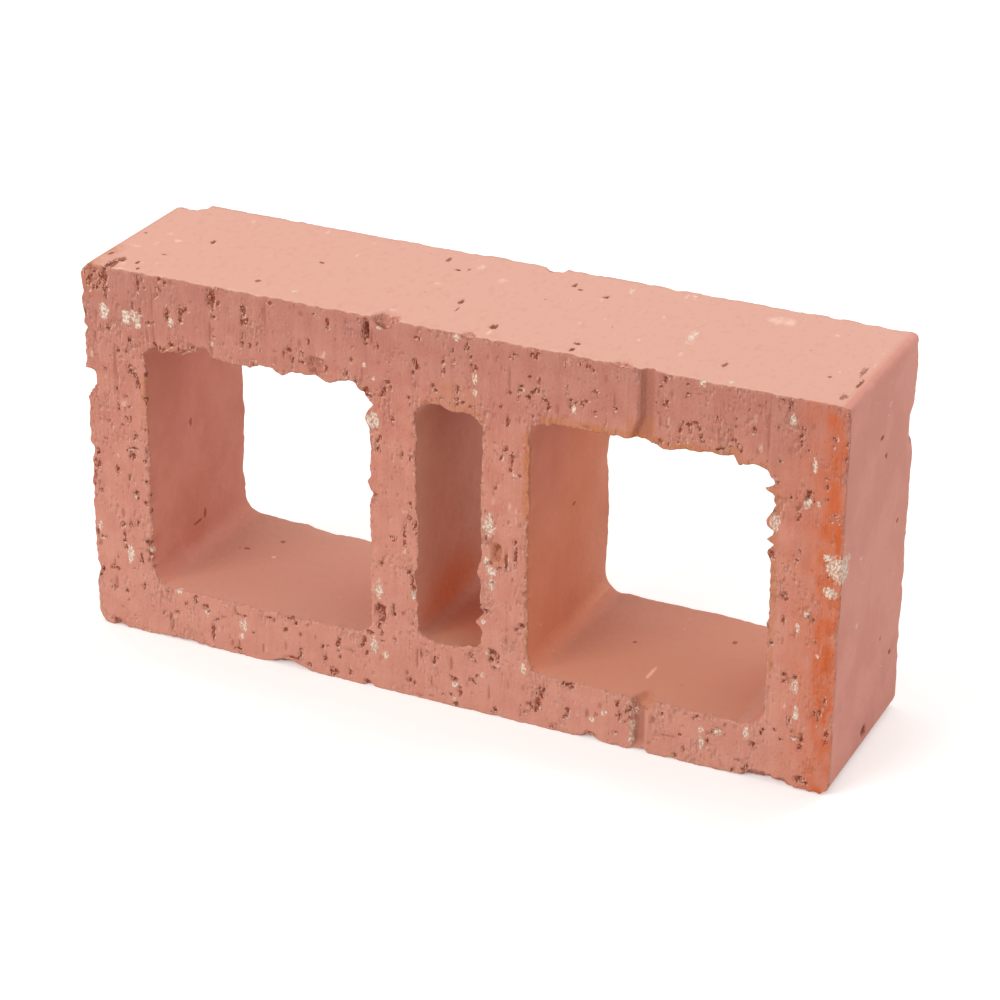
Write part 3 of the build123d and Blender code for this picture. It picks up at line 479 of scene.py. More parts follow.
# Faint upright scores and shallow plucks of the front: x, z, width, height, and a shade from 1 (dark)
# to -1 (a pale smear)
drag_lines = [
    (-115.7, 136, 1.3, 19, 0.8), (-100, 137.4, 2.2, 1.1, 0.8), (-115.8, 121.5, 1.3, 9, 0.9),
    (-118.4, 122, 1.3, 7, 0.8), (-139.4, 126, 1.6, 4.4, 1), (-140.2, 117, 1.3, 6, 0.8),
    (-132.7, 107, 1.3, 19, 0.9), (-129.2, 90.4, 1.4, 4.4, 0.9), (-137.4, 87.4, 2.4, 1.1, 0.8),
    (-92.4, 128, 1.4, 10, 1), (-92.2, 121.5, 1.4, 5, 1), (-70.2, 138, 1.3, 11, 0.8),
    (-55.5, 141.2, 1.6, 2.4, 0.8), (-28.2, 138, 1.3, 9, 0.8), (-56.4, 130, 1.3, 5, 0.8),
    (-66, 125, 2.6, 1.2, 0.8), (-66.4, 122, 1.3, 5, 0.8), (-32, 122.5, 1.3, 8, 0.8),
    (-25.6, 128.4, 1.3, 1.8, 0.8), (-18.6, 79.6, 1.3, 2, 0.7), (-24.6, 82, 1.6, 1.6, 0.7),
    (-20.9, 85.8, 1.3, 2.4, 0.8), (-23.6, 58.4, 1.3, 1.3, 0.7), (-23.6, 43.6, 1.3, 1.4, 0.8),
    (18.5, 117.6, 1.3, 2.4, 0.7), (28, 117.6, 1.4, 4, 0.8), (18.4, 87.6, 1.3, 2.2, 0.8),
    (25, 59.6, 1.3, 2, 0.8), (25.6, 56, 1.3, 2, 0.8), (25.2, 44.4, 1.3, 3, 0.7), (23.8, 36, 1.3, 2.6, 0.8),
    (23.6, 31.4, 1.3, 3.4, 0.8), (14.3, 109.6, 1.3, 2.4, 0.8), (-7.4, 131.4, 1.3, 1.6, 0.7),
    (-11.5, 122, 1.3, 1.4, 0.7), (24, 132, 1.3, 11, 0.9), (16, 138.4, 1.4, 3, 0.8),
    (19, 138, 1.4, 2.6, 0.8), (41.8, 124, 1.3, 5.6, 0.9), (35.4, 121.6, 1.4, 1.3, 0.8),
    (52.5, 119.8, 4, 1.3, 0.8), (59.5, 138.6, 1.3, 4, 0.8), (62.8, 131.5, 1.3, 10, 0.9),
    (83, 137.6, 1.3, 4.6, 0.7), (78.2, 137.4, 1.3, 3.6, 0.7), (79.2, 127.4, 1.3, 7, 0.7),
    (81.8, 127.4, 1.3, 7, 0.8), (92.6, 139.6, 3.6, 1.2, 0.8), (91.6, 141.4, 1.3, 1.2, 0.8),
    (94.6, 141.2, 2.4, 1.4, 0.8), (100.4, 133.6, 1.3, 1.2, 0.8), (104.4, 127.4, 1.4, 1.4, 0.8),
    (110.4, 139.8, 1.3, 1.2, 0.7), (113.8, 123.4, 1.3, 4, 0.8), (117.2, 132, 1.3, 22, 0.8),
    (115.8, 140, 1.3, 5, 0.7), (132.6, 136, 1.3, 3, 0.8), (125, 126, 1.3, 5, 0.8),
    (136.4, 109, 1.3, 2, 0.8), (127.8, 109.6, 1.3, 1.3, 0.8), (127.8, 88.6, 1.3, 1.3, 0.8),
    (134.6, 84.4, 1.8, 1.3, 0.8), (128.4, 81.8, 1.3, 1.3, 0.8), (125.2, 78.8, 1.3, 2.4, 0.7),
    (129, 59, 2.6, 1.2, 0.8), (130.2, 60.6, 1.3, 2, 0.8), (125.6, 56, 1.3, 3, 0.8),
    (142.4, 77, 1.3, 5, 0.9), (122, 46, 1.4, 3, 0.8), (120.6, 60, 1.4, 4, 0.8), (110, 19, 1.3, 3.4, 0.7),
    (88, 19.6, 1.3, 3, 0.7), (78.6, 4.4, 2.4, 2, 0.8), (79.8, 14, 2.4, 3.4, 0.8), (85.6, 9, 9, 1.2, 0.7),
    (86.4, 16, 1.3, 8, 0.6), (59.8, 14.6, 1.3, 3.6, 0.8), (55, 10, 1.3, 6.4, 0.9),
    (52, 11.6, 1.3, 1.3, 0.8), (43.2, 2.8, 1.3, 1.6, 0.8), (30.4, 14, 1.3, 3, 0.7), (38, 16, 1.3, 12, 0.7),
    (17, 9, 1.3, 8, 0.8), (2.2, 17.5, 1.3, 8, 0.9), (-7.6, 19.6, 1.4, 1.4, 0.7), (-11.6, 16, 1.3, 11, 0.9),
    (-10.6, 1.4, 4, 1.2, 0.8), (-5.8, 2.4, 2.6, 1.3, 0.8), (-5.8, 8.4, 1.3, 5, 0.7),
    (24.4, 14, 1.3, 4, 0.6), (8.4, 10, 1.3, 4, 0.7), (-112.6, 21, 1.4, 5, 0.7), (-112.8, 6.6, 1.4, 5, 0.9),
    (-91, 14, 3.4, 1.2, 0.8), (-86, 18, 1.3, 4.4, 0.9), (-87.6, 4.4, 1.4, 4.4, 0.9),
    (-84.6, 4.6, 1.4, 4.4, 0.9), (-74.8, 5, 1.5, 4.4, 1), (-65.2, 8, 1.4, 5.6, 0.8),
    (-53, 14.6, 1.3, 3.6, 0.8), (-117.4, 18, 1.4, 4, 0.7), (-38.6, 13, 8, 1.2, 0.6),
    (-136.3, 73.8, 1.4, 1.3, 0.8), (-138, 75, 1.3, 1.5, 0.8), (-141.8, 58.6, 1.3, 2.4, 0.8),
    (-129.4, 59.6, 1.3, 2.4, 0.8), (-132.2, 48, 1.5, 6, 0.9), (-130.4, 35.6, 1.3, 1.6, 0.8),
    (-134.6, 50.4, 1.4, 3, 0.8), (-128.4, 43.2, 1.8, 1.3, 0.8), (-143, 33.4, 2.4, 3, 0.8),
    (-139.6, 36.4, 2.6, 1.2, 0.8), (-137.2, 26.4, 1.3, 4.4, 0.9), (-136.6, 18.6, 1.5, 6.4, 0.9),
    (-125.6, 34.6, 3, 1.2, 0.7), (-114.6, 19.4, 2.6, 1.2, 0.8), (-134.4, 8.6, 3, 1.2, 0.6),
    (18.5, 85, 1.4, 4.5, -0.8), (24.6, 84, 1.4, 6, -0.6), (27, 81, 1.4, 9, -0.7), (82.2, 128, 1.4, 6, -0.8),
    (78.6, 127.5, 1.4, 7, -0.5), (87.4, 13, 1.4, 10, -0.4), (112.6, 135, 1.4, 5, -0.9),
    (114.8, 125, 1.4, 4.6, -1), (45.8, 142.5, 1.4, 4, -0.9), (-112.6, 143.2, 2.6, 2, -1),
    (-136.6, 101.6, 1.8, 2, -0.9), (-133.2, 71, 1.8, 2.4, -0.8), (-129.4, 92, 4, 5, -0.6),
    (-131.4, 35.6, 2.4, 2.6, -0.7), (-142, 110, 2.2, 4.4, -0.8), (-16, 73.4, 3, 1.8, -0.8),
    (-111.6, 9.4, 1.4, 4, -0.7), (-93, 8.6, 1.4, 4, -0.5), (-84, 7, 2.4, 5, -0.6),
    (-73.4, 4.4, 1.4, 4, -0.5), (-27, 41, 5, 6, -0.5), (127.6, 31, 1.4, 3.4, -0.8),
    (141.6, 33.6, 2.6, 1.4, -0.6), (131, 20, 2.6, 1.6, -0.5), (120.6, 28, 1.6, 6, -0.5),
    (116.6, 29.6, 1.8, 1.6, -0.8), (115.2, 26.6, 1.5, 1.6, -0.8), (-46.6, 127.4, 2, 3, -0.9),
    (-47.6, 126.4, 6, 1.3, -0.8), (80.4, 137.6, 1.8, 2.4, -0.5), (10.4, 21.2, 1.5, 1.6, -0.6),
    (20, 20.6, 4, 1.5, -0.7), (16.4, 24.6, 1.5, 5, -0.6), (32.6, 7, 2, 2, -0.6), (51.6, 9, 1.6, 2, -0.5),
    (-6.6, 124.6, 1.6, 2, -0.4),
]

# Stones that the wire tore half out, each in a gap that is deepest above it and painted darkest there as
# shade: x, z, width, height
half_stones = [
    (-61, 124.6, 3.4, 3.6), (15.2, 40, 3, 3.8), (-28.6, 106.4, 4.6, 6.4), (120.9, 99.2, 4, 8),
    (140.4, 81.2, 3.4, 3.6), (-112, 142.6, 3, 2.4), (-92, 123, 2.2, 2.6), (132, 107.6, 3, 5.2),
    (104, 14.6, 3.6, 4), (3.6, 9, 3, 3.4), (48, 125.6, 2.6, 4), (-130.6, 34.8, 2.4, 2.6),
]

# Pockets where a flat crumb came away: x, z, width, height, depth
pockets = [
    (-50, 122.6, 6, 7, 1.2), (-30.4, 140, 2.8, 8.8, 1), (-91.4, 140.4, 3.6, 8.6, 0.8),
    (19.6, 65.4, 3.4, 7, 1.3), (-25.8, 31.8, 3.6, 4, 0.8),
]

# Small pits of the upper skin as x, y, width, depth and sink, and of the right end as y, z, depth,
# height and sink
top_pits = [
    (-112.2, 3.2, 2, 4.4, 0.7), (-139, 0.5, 2.6, 2.8, 0.4), (-79, -23, 2.6, 2.4, 0.6),
    (-67.3, 2.6, 2.4, 2.2, 0.6), (-28, 25, 2, 4.8, 0.8), (-20.8, 17.6, 2.8, 2.4, 0.6),
    (-17.6, 19.6, 2, 4, 0.5), (-6.8, -8.5, 1.9, 5.4, 0.7), (36.4, 17.6, 2.8, 3.4, 0.9),
    (22.4, 22.4, 1.6, 4.6, 0.6), (26, 19.4, 2.6, 2.4, 0.6), (12.8, -23.5, 3.6, 6, 1.1),
    (44.3, -24.4, 2.8, 3.4, 0.8), (44.8, -30, 2.2, 4, 0.6), (49, -5.6, 2.4, 2.8, 0.4),
    (95.3, -19.5, 2.4, 5, 0.7), (129.7, -13.4, 2.2, 2.2, 0.6), (140.6, -14.5, 2, 10, 0.9),
    (-133, -25.6, 4.6, 3.8, 1.2), (-134.8, -30, 2.8, 11, 1.6), (-132.8, -31, 1.2, 8, 0.7),
    (-126.4, -26, 1.6, 3.6, 0.6), (-123.2, -30.6, 1.7, 2.4, 0.7), (-139.4, -22.8, 2, 3.6, 0.8),
    (-22, -5.8, 2, 2, 0.4), (-16.4, -4.6, 1.7, 3, 0.4), (18, 7, 1.7, 2.6, 0.5), (20.8, 6.2, 1.6, 3.2, 0.5),
    (70.4, 0.8, 1.6, 1.8, 0.4), (58.8, -21.4, 2, 1.6, 0.3), (50, -13.4, 1.8, 3, 0.3),
    (54.4, 5.4, 1.4, 4, 0.3), (117, 5, 1.6, 2.6, 0.3), (138.4, -5, 3, 10, 0.3), (139.4, -27, 3.4, 9, 0.4),
    (-122, -15, 3, 1.6, 0.4), (-5, -15.6, 1.2, 6, 0.3),
]
end_pits = [
    (0, 120.2, 5, 2, 0.7), (5.5, 111.5, 2.4, 2.4, 0.7), (23, 79.5, 2.4, 2.4, 0.7),
    (12.5, 38.5, 2.4, 2.4, 0.7), (24.5, 27.5, 2.6, 2.6, 0.7), (0, 8, 6.5, 5.5, 0.7),
]

# Pale scuffs of the upper skin, where it was smeared thin: x, y, width, depth
top_scuffs = [
    (-130, 3, 3.2, 5), (-124, -2.4, 5, 4), (-129, -8, 2.4, 7), (-134.6, -12.4, 5.6, 3.4),
    (-139.2, -17.6, 4.4, 3.6), (-116, -20, 2.2, 2.6), (-111, 1.6, 2.2, 4), (-130.6, -29, 4.4, 3),
    (-138.6, -28, 4, 6), (-87.8, -1, 3, 3), (-109, 27, 1.6, 5), (-79, 30, 2, 5), (-58.6, 27.4, 2.8, 3.2),
    (-58.8, 14.4, 2.2, 4), (-51.4, 10, 2, 3.4), (-14.2, 22.4, 3.6, 7), (-21.4, 2.4, 2.8, 3.2),
    (-2, 15, 6, 6), (-3.6, -24.8, 1.8, 2), (13.8, -29, 1.8, 5), (43, 26, 2.8, 8), (61.6, 29.5, 1.6, 7),
    (65, 30, 2.6, 3.4), (76.6, -1.6, 3.4, 9), (78, -8, 2.2, 5), (38.6, -9, 1.8, 4.6), (61.4, -13, 2, 4),
    (61.6, 9, 2, 3), (36.6, 14, 2.4, 2.4), (120.6, 20, 2.2, 3), (79, -18, 1.7, 3.6), (139.8, 1.6, 1.4, 5),
    (-24, -26, 3.2, 4.4), (-128.8, -33.6, 8, 2.2), (100, 24, 16, 9),
]

# Pale grit and lime that show in the clay: x, z, width and height on the front, x, y, width and depth
# on the top, and y, z, depth and height on the right end
front_grit = [
    (-135.8, 127.6, 3.8, 6.4), (-126.6, 126.8, 3.4, 5.6), (-124, 128.4, 3.6, 4.4), (-122, 127, 2.4, 6),
    (-108.2, 128.6, 2, 4.6), (-142.7, 40.5, 2, 5), (-129.8, 31.5, 2.8, 6), (-91.6, 123, 1.6, 1.8),
    (-109.5, 20.5, 2, 2.5), (-107.5, 24, 2, 2), (-98, 14.6, 1.8, 2.8), (-82.8, 13, 3.4, 4.4),
    (-83.2, 8.2, 1.4, 2), (-24.2, 14.5, 2.4, 3), (56.8, 8.5, 2, 2.4), (61.5, 12, 2, 2.6),
    (97.5, 14.5, 2.5, 2.5), (98, 9.5, 1.6, 7), (104, 15, 3.6, 3.6), (3.6, 9, 2.2, 2.4), (3.4, 3, 1.6, 2),
    (14.3, 15.5, 2, 2.4), (72.9, 16, 2.6, 7), (72.4, 9.4, 2, 8), (72, 4, 1.8, 4), (4.2, 143.2, 3, 2.6),
    (48, 125.2, 1.8, 3.2), (26.6, 96.4, 1.6, 1.6), (94, 143.8, 1.6, 1.8), (125.5, 137, 2, 4.6),
    (133.8, 122, 1.6, 5.4), (132, 108.5, 2.5, 4.5), (135.5, 109, 1.6, 2.5), (143.6, 86, 6.6, 10.4),
    (140, 90.2, 3, 2.5), (141.5, 77.5, 4.4, 3.4), (133.3, 67.5, 1.6, 2), (130.8, 62, 1.5, 5),
    (138.2, 53, 1.6, 1.6), (130.7, 40, 2.5, 6), (131.7, 29.5, 1.8, 6.4), (16.8, 75, 4.4, 7.6),
    (15.5, 61.5, 2, 2.5), (17.6, 57.6, 3.2, 4), (17.8, 52.6, 2.6, 4.4), (30.3, 22, 2, 5.6),
    (16.4, 24.6, 1.5, 4.6), (-28.2, 106.2, 4.4, 6), (-26.5, 40.2, 3.6, 6), (-29, 17.6, 3.3, 6.4),
    (-12.7, 41.5, 1.8, 4), (-120.7, 35, 1.9, 2.2), (114.2, 18, 1.7, 5), (-31.2, 126.5, 1.6, 2),
    (-27.6, 122, 1.6, 2), (14.8, 37.2, 1.8, 1.8), (121, 99.4, 3, 6.6), (-25.4, 141.4, 2.4, 1.4),
    (11.2, 129.4, 1.7, 4.4), (11.2, 124.4, 1.7, 3), (-126.2, 55.8, 1.5, 1.7), (131.6, 19.6, 2.4, 1.3),
    (-38.4, 5, 1.7, 2.2),
]
top_grit = [
    (-62.3, -26, 3.4, 2), (42.3, 27, 2, 6), (64, 31, 2.4, 2.4), (77, -2.5, 2.8, 9),
    (102.3, -31.5, 2.4, 2.2), (93.8, -34.5, 2.2, 2), (-14.5, 23, 2.4, 2.2),
]
end_grit = [
    (-32.4, 86, 9, 10), (7, 130.5, 3.4, 1.6), (-15, 82.5, 3.4, 1.6), (7, 84.5, 3.4, 1.6),
    (-15, 56.5, 3.4, 1.6), (34, 63, 2.4, 2.4),
]

# Torn holes too small to list one by one: where they may lie, and the range of their sizes
small_hole_count = 16
small_hole_width = (0.9, 1.5)
small_hole_height = (1.6, 5.0)
small_hole_depth = (0.3, 0.8)
chance = np.random.default_rng(11)


def scattered_holes(count, chance):
    """Small torn holes at random places in the clay of a cut face."""
    places = chance.uniform((left, bottom), (right, top), (4 * count, 2))
    clear = -distance_from(outline, *places.T)[0]
    for cell in cells:
        clear = np.minimum(clear, distance_from(cell, *places.T)[0])
    places = places[clear > 0.8][:count]
    sizes = [chance.uniform(*span, len(places)) for span in
             (small_hole_width, small_hole_height, small_hole_depth)]
    return np.column_stack([places, *sizes]).tolist()


# A torn face lies under its flat plane in layers of noise: height, then the size of the lumps across,
# through and up. They are two of broad waves, two of upright drag lines, and the torn grain.
torn_layers = [
    (0.16, (34, 34, 34)), (0.12, (11, 11, 26)), (0.11, (1.9, 9, 22)), (0.08, (1.0, 9, 13)),
    (0.08, (1.5, 1.5, 1.8)),
]
torn_plane = 0.35
bowl_share = 0.75
bowl_steepness = 1.8


def relief(marks, holes, seed):
    """How deep a cut face lies under its flat plane: the layers of noise, and the holes, each a bowl
    with steep sides that is share * depth * min(1, steepness * (1 - r)) deep."""
    inside, which = marks
    depths = np.array([hole[-1] for hole in holes])
    bowls = bowl_share * depths[which] * np.clip(bowl_steepness * inside, 0, 1)
    layers = sum(height * noise(size, seed + number)
                 for number, (height, size) in enumerate(torn_layers))
    return torn_plane + layers + bowls


# Each half-torn stone has a gap round it, deepest above and to its left, and stands proud itself
gap_place = 0.08
gap_half_width = 0.26
gap_depth = 0.8
stone_height = 0.25
stone_inside, stone = near_marks(front_marks(half_stones), 0.16, 9)
stone_rows = np.array(half_stones)[stone]
above = (z - stone_rows[:, 1]) / stone_rows[:, 3] - (x - stone_rows[:, 0]) / stone_rows[:, 2]
stone_gap = np.clip(1 - np.abs(stone_inside - gap_place) / gap_half_width, 0, 1)
stone_gap = stone_gap * np.clip(0.5 + 0.9 * above, 0.15, 1)
stone_cap = np.clip(2.5 * stone_inside, 0, 1)

# Each pocket is a flat-floored rectangle with a wavering outline
pocket_wander = 0.16
pocket_floor = np.zeros(len(x))
for pocket_x, pocket_z, width, height, depth in pockets:
    edge = np.maximum(np.abs(x - pocket_x) / width, np.abs(z - pocket_z) / height) * 2
    edge = edge + pocket_wander * noise((1.6, 60, 1.6), 12)
    pocket_floor = np.maximum(pocket_floor, depth * np.clip((1 - edge) * 4, 0, 1))

hidden_hole_count = 260
line_depth = 0.35
front_holes = torn_holes + scattered_holes(small_hole_count, chance)
line_inside, line = near_marks(front_marks(drag_lines), 0.22, 14)
line_shade = np.array([row[-1] for row in drag_lines])[line]
drawn_line = np.where(on_front, line_shade * np.clip(1.9 * line_inside, 0, 1), 0)
back_holes = scattered_holes(hidden_hole_count, chance)
front_inside = near_marks(front_marks(front_holes))
back_marks = [(hole[0], back, hole[1], hole[2], mark_thickness, hole[3]) for hole in back_holes]
back_inside = near_marks(back_marks)
# The painted highlight on the lower right rims of the marks
rim_highlight = np.where(on_front, lit_rim(front_marks(front_holes), *front_inside),
               np.where(on_back, lit_rim(back_marks, *back_inside), 0))
front_relief = relief(front_inside, front_holes, 20)
front_relief = front_relief + gap_depth * stone_gap - stone_height * stone_cap + pocket_floor
front_relief = front_relief + line_depth * drawn_line
back_relief = relief(back_inside, back_holes, 30)

# The groove that a pebble dragged down the front at x 72 to 77. Its sides are shares of its width,
# steep on the left, and it flares just above the cell, where the pebble slid sideways.
groove_left = 71.6
groove_width = 5.4
groove_depth = 2.2
groove_left_side = 0.12
groove_right_side = 0.26
groove_flare = 0.36
groove_flare_from = 127.0
groove_shift = 0.6
spread = np.clip(groove_flare_from - z, 0, 8) * groove_flare * (z > cell_top - 1)
spread = spread - groove_shift * (z < cell_floor + 1)
across = (x - groove_left + spread) / (groove_width + spread)
groove = np.clip(np.minimum(across / groove_left_side, (1 - across) / groove_right_side), 0, 1)
groove = groove_depth * groove * np.clip((z + 1) / 4, 0, 1)
front_relief = front_relief + groove
relief_reach = 12.0
y = y + front_relief * np.clip(1 - behind / relief_reach, 0, 1) ** 2
y = y - back_relief * np.clip(1 - ahead / relief_reach, 0, 1) ** 2

# Burrs and bites in the front arrises and in the back ones, pushed out of the clay: x, z, reach along
# the arris, and millimetres out
arris_burrs = [
    (120, 110.8, 1.2, 3.6), (120, 99.2, 3.4, 2.2), (120, 92.5, 1, 2.2), (120, 87.2, 2.4, 1.6),
    (120, 105, 1.2, -1), (120, 95.4, 1, -1.2), (120, 90.3, 0.9, -1), (38, 118.5, 4, 1),
    (46, 118.5, 4, -0.4), (56, 118.5, 5, -0.5), (81.5, 118.5, 4.6, 1.5), (96, 118.5, 5, -0.7),
    (102.4, 118.5, 2, -1), (104.9, 118.5, 1.1, -2), (107.3, 118.5, 1.1, 1.5), (110, 118.5, 1.8, 0.5),
    (115, 118, 3, 0.8), (-96.8, 118.5, 1.6, -1.6), (-94.6, 118.5, 1.2, -2), (-91.2, 118.5, 1.5, 1.9),
    (-87.8, 118.5, 3, 1.8), (-81.5, 118.5, 3.4, 1.8), (-76.5, 118.5, 2.6, 1.6), (-72, 118.5, 2, 0.2),
    (-63.5, 118.5, 4, 1.8), (-54, 118.5, 4, 0.5), (-44.8, 118.5, 2.4, 1.8), (-38, 118.5, 3, -0.6),
    (-32.5, 116.5, 2.6, 1.2), (-29, 111.6, 1.4, -1), (-29.3, 107, 2.8, 2.2), (-113, 118.5, 4.6, 2.5),
    (-105, 118.5, 4, 1.8), (-100.6, 118.5, 1.6, 0.8), (-29.3, 82.5, 1.1, 1), (-29.3, 77.5, 1.5, -0.8),
    (-29.3, 70, 24, 0.5), (-29.3, 37, 12, 0.9), (-29.3, 31.5, 2, -0.6), (-29.3, 25, 1.6, -0.5),
    (-29.3, 20.6, 1.6, 1.3), (-120, 62.7, 1.5, -1), (-120, 54, 1.5, -1.1), (-120, 38, 1.6, -1.5),
    (-120, 31, 2, -1), (-120, 44, 2, 0.6), (-5, 115.1, 6, -2), (8, 115.1, 3, -0.5), (13.7, 57, 3, 1.6),
    (13.7, 45.5, 5, 0.6), (13.7, 40.5, 1.3, -1.6), (13.7, 36.4, 1.4, 2), (9.5, 24.4, 4, 1.5),
    (-11.3, 47.5, 3, -0.9), (-11.3, 60, 6, 0.4), (31.7, 91, 1.2, -0.8), (31.7, 78, 1.2, -0.8),
    (31.7, 60, 1.4, -0.8), (31.7, 52, 1.2, -0.8), (31.7, 48.5, 1, -0.7), (-145, 119.8, 1.2, -1.2),
    (-145, 71, 1.6, -1.3), (-145, 22.5, 2, -1.1), (-145, 88, 3, -0.3), (-64, 0, 5, -2), (-57, 0, 2, -0.6),
    (-108, 0, 16, -0.7), (55.3, 0, 3.4, -1.6), (76, 0, 3, -1), (121, 0, 8, -1.6), (133, 0, 2, -0.5),
]
back_burrs = [
    (-84, 21, 9, -1.7), (-60, 21, 14, -1.5), (-38, 21, 8, -0.7), (-118, 40, 8, -0.9), (-120, 96, 4, 1.2),
    (-120, 102, 1.6, -0.9), (31.7, 97, 4.6, 1.8), (31.7, 55, 16, 0.6), (31.7, 76, 3, -0.4),
    (44, 21, 8, 0.9), (72, 21, 15, 0.6), (112, 21, 9, 1),
]

# The arrises are ragged in layers: height, size of the lumps along the arris, and seed
front_ragged = [(0.30, 1.3, 41), (0.30, 2.9, 42), (0.16, 6.5, 48)]
back_ragged = [(0.20, 1.7, 43), (0.26, 5.0, 44), (0.20, 12.0, 49)]
through = 60.0


def along_arris(layers):
    """Noise that runs along the arrises and stays the same through the brick: its layers, added up."""
    return sum(height * noise((size, through, size), seed, foot_x, 0 * y, foot_z)
               for height, size, seed in layers)


def burred(rows):
    """Burrs and bites added up, each its height times exp(-(distance / reach)^2)."""
    total = 0
    for burr_x, burr_z, reach, height in rows:
        distance = np.hypot(foot_x - burr_x, foot_z - burr_z)
        total = total + height * np.exp(-(distance / reach) ** 2)
    return total


# The cells' mouths are the most ragged, the top arris is set back, and the bottom one stands proud
cell_raggedness = 1.35
outer_raggedness = 1.1
top_set_back = 0.38
side_set_back = 0.10
bottom_stands_out = 0.15
front_fade = 2.6
back_fade = 5.0
wave_height = 0.08
wave_size = (42, 30, 42)
set_back = np.where(out_z > 0.5, top_set_back, np.where(out_z < -0.5, -bottom_stands_out, side_set_back))
torn_edge = along_arris(front_ragged)
torn_edge = np.where(in_cell, cell_raggedness * torn_edge, outer_raggedness * torn_edge - set_back)
back_edge = along_arris(back_ragged) + burred(back_burrs)
outward = (burred(arris_burrs) + torn_edge) * np.exp(-(behind / front_fade) ** 1.5)
outward = outward + back_edge * np.exp(-(ahead / back_fade) ** 1.5)
outward = outward + wave_height * noise(wave_size, 45, foot_x, y, foot_z)
edge_reach = 3.6
fade_in_face = np.exp(-(inset / edge_reach) ** 2)


# The rounding of the arrises, whose radius changes along them
def arris(inset, depth, radius):
    """Rolls the square arris round an arc: a point e = depth - inset from it, within the radius,
    goes to the angle pi / 4 * (1 + e / radius) of a quarter circle."""
    e = np.clip((depth - inset) / radius, -1, 1)
    angle = math.pi / 4 * (1 + e)
    rolled = np.abs(e) < 1
    return (np.where(rolled, radius * (1 - np.sin(angle)) - inset, 0),
            np.where(rolled, radius * (1 - np.cos(angle)) - depth, 0))


arris_radius = 0.6
least_radius = 0.35
most_radius = 1.3
radius_change = 3.4


def loose(seed):
    """The radius of an arris along its length: its usual radius times 1 plus noise, within limits."""
    changing = noise((radius_change, through, radius_change), seed, foot_x, 0 * y, foot_z)
    return np.clip(arris_radius * (1 + changing), least_radius, most_radius)


for depth, way, seed in ((behind, 1, 46), (ahead, -1, 47)):
    sink, back_off = arris(inset, depth, loose(seed))
    x = x - out_x * sink
    z = z - out_z * sink
    y = y + way * back_off
x = x + out_x * outward * fade_in_face
z = z + out_z * outward * fade_in_face

# Flakes off the arrises: place along the arris, reach over the cut face, reach over the other face and
# length. Each is the cap of a ball that meets both faces at those reaches, and where a fifth number
# stands, the flake broke off short at that place.
flake_rows = {
    "top_front": ((0, front, top), 0, (0, 0, -1), (0, 1, 0), [
        (-23.5, 3.6, 7.2, 9.0), (-139, 2.0, 3.0, 5.0), (-116, 1.0, 1.2, 3.0), (-91, 1.4, 1.4, 4.0),
        (8.2, 1.6, 4.0, 6.5), (35, 1.4, 1.8, 7.5), (51.7, 1.8, 1.8, 6.0), (65, 1.4, 4.2, 9.5),
        (82, 1.7, 1.6, 5.0), (124, 1.2, 1.0, 3.0), (-45, 1.0, 0.8, 2.4), (96, 1.0, 1.0, 3.4)]),
    "top_back": ((0, back, top), 0, (0, 0, -1), (0, -1, 0), [
        (-139, 3.6, 7.2, 25, -131.2), (10, 1.8, 4.2, 9), (-60, 1.2, 1.2, 7), (56, 1.2, 1.4, 8),
        (-96, 1.0, 1.3, 6), (100, 1.0, 1.2, 7), (126, 1.2, 1.2, 6), (-26, 1.0, 1.0, 5)]),
    "bottom_front": ((0, front, bottom), 0, (0, 0, 1), (0, 1, 0), [
        (-64, 3.0, 5.0, 17), (-136, 1.4, 1.8, 7.2), (-31, 1.6, 2.0, 4), (55, 1.8, 2.4, 3.6),
        (76, 1.5, 1.8, 4), (121, 4.2, 4.0, 23), (20, 1.0, 1.4, 5), (-100, 1.0, 1.4, 5)]),
    "left_front": ((left, front, 0), 2, (1, 0, 0), (0, 1, 0), [
        (99.4, 4.8, 6.8, 13.0, 103.7), (71, 2.0, 3.0, 8.4), (22.8, 1.7, 2.5, 7.2), (120, 1.3, 1.6, 4.2),
        (61, 1.0, 1.2, 3.2), (56, 1.2, 1.2, 3), (134, 1.2, 1.4, 4)]),
    "right_front": ((right, front, 0), 2, (-1, 0, 0), (0, 1, 0), [
        (22.5, 1.0, 1.2, 6), (52, 0.8, 0.8, 3.4), (104, 0.9, 1.0, 4), (131, 0.9, 0.8, 3)]),
    "right_back": ((right, back, 0), 2, (-1, 0, 0), (0, -1, 0), [
        (111.5, 2.5, 6.2, 18.5), (60, 1.0, 1.2, 6), (32, 1.0, 1.4, 8), (86, 1.0, 1.2, 5)]),
    "right_bottom": ((right, 0, bottom), 1, (-1, 0, 0), (0, 0, 1), [(0, 2.0, 3.0, 7)]),
}
flake_noise = 0.20 * noise((2.4, 2.4, 2.4), 51) + 0.14 * noise((1.1, 1.1, 1.1), 52)
short_break = 0.5
flake_depth = np.zeros(len(x))
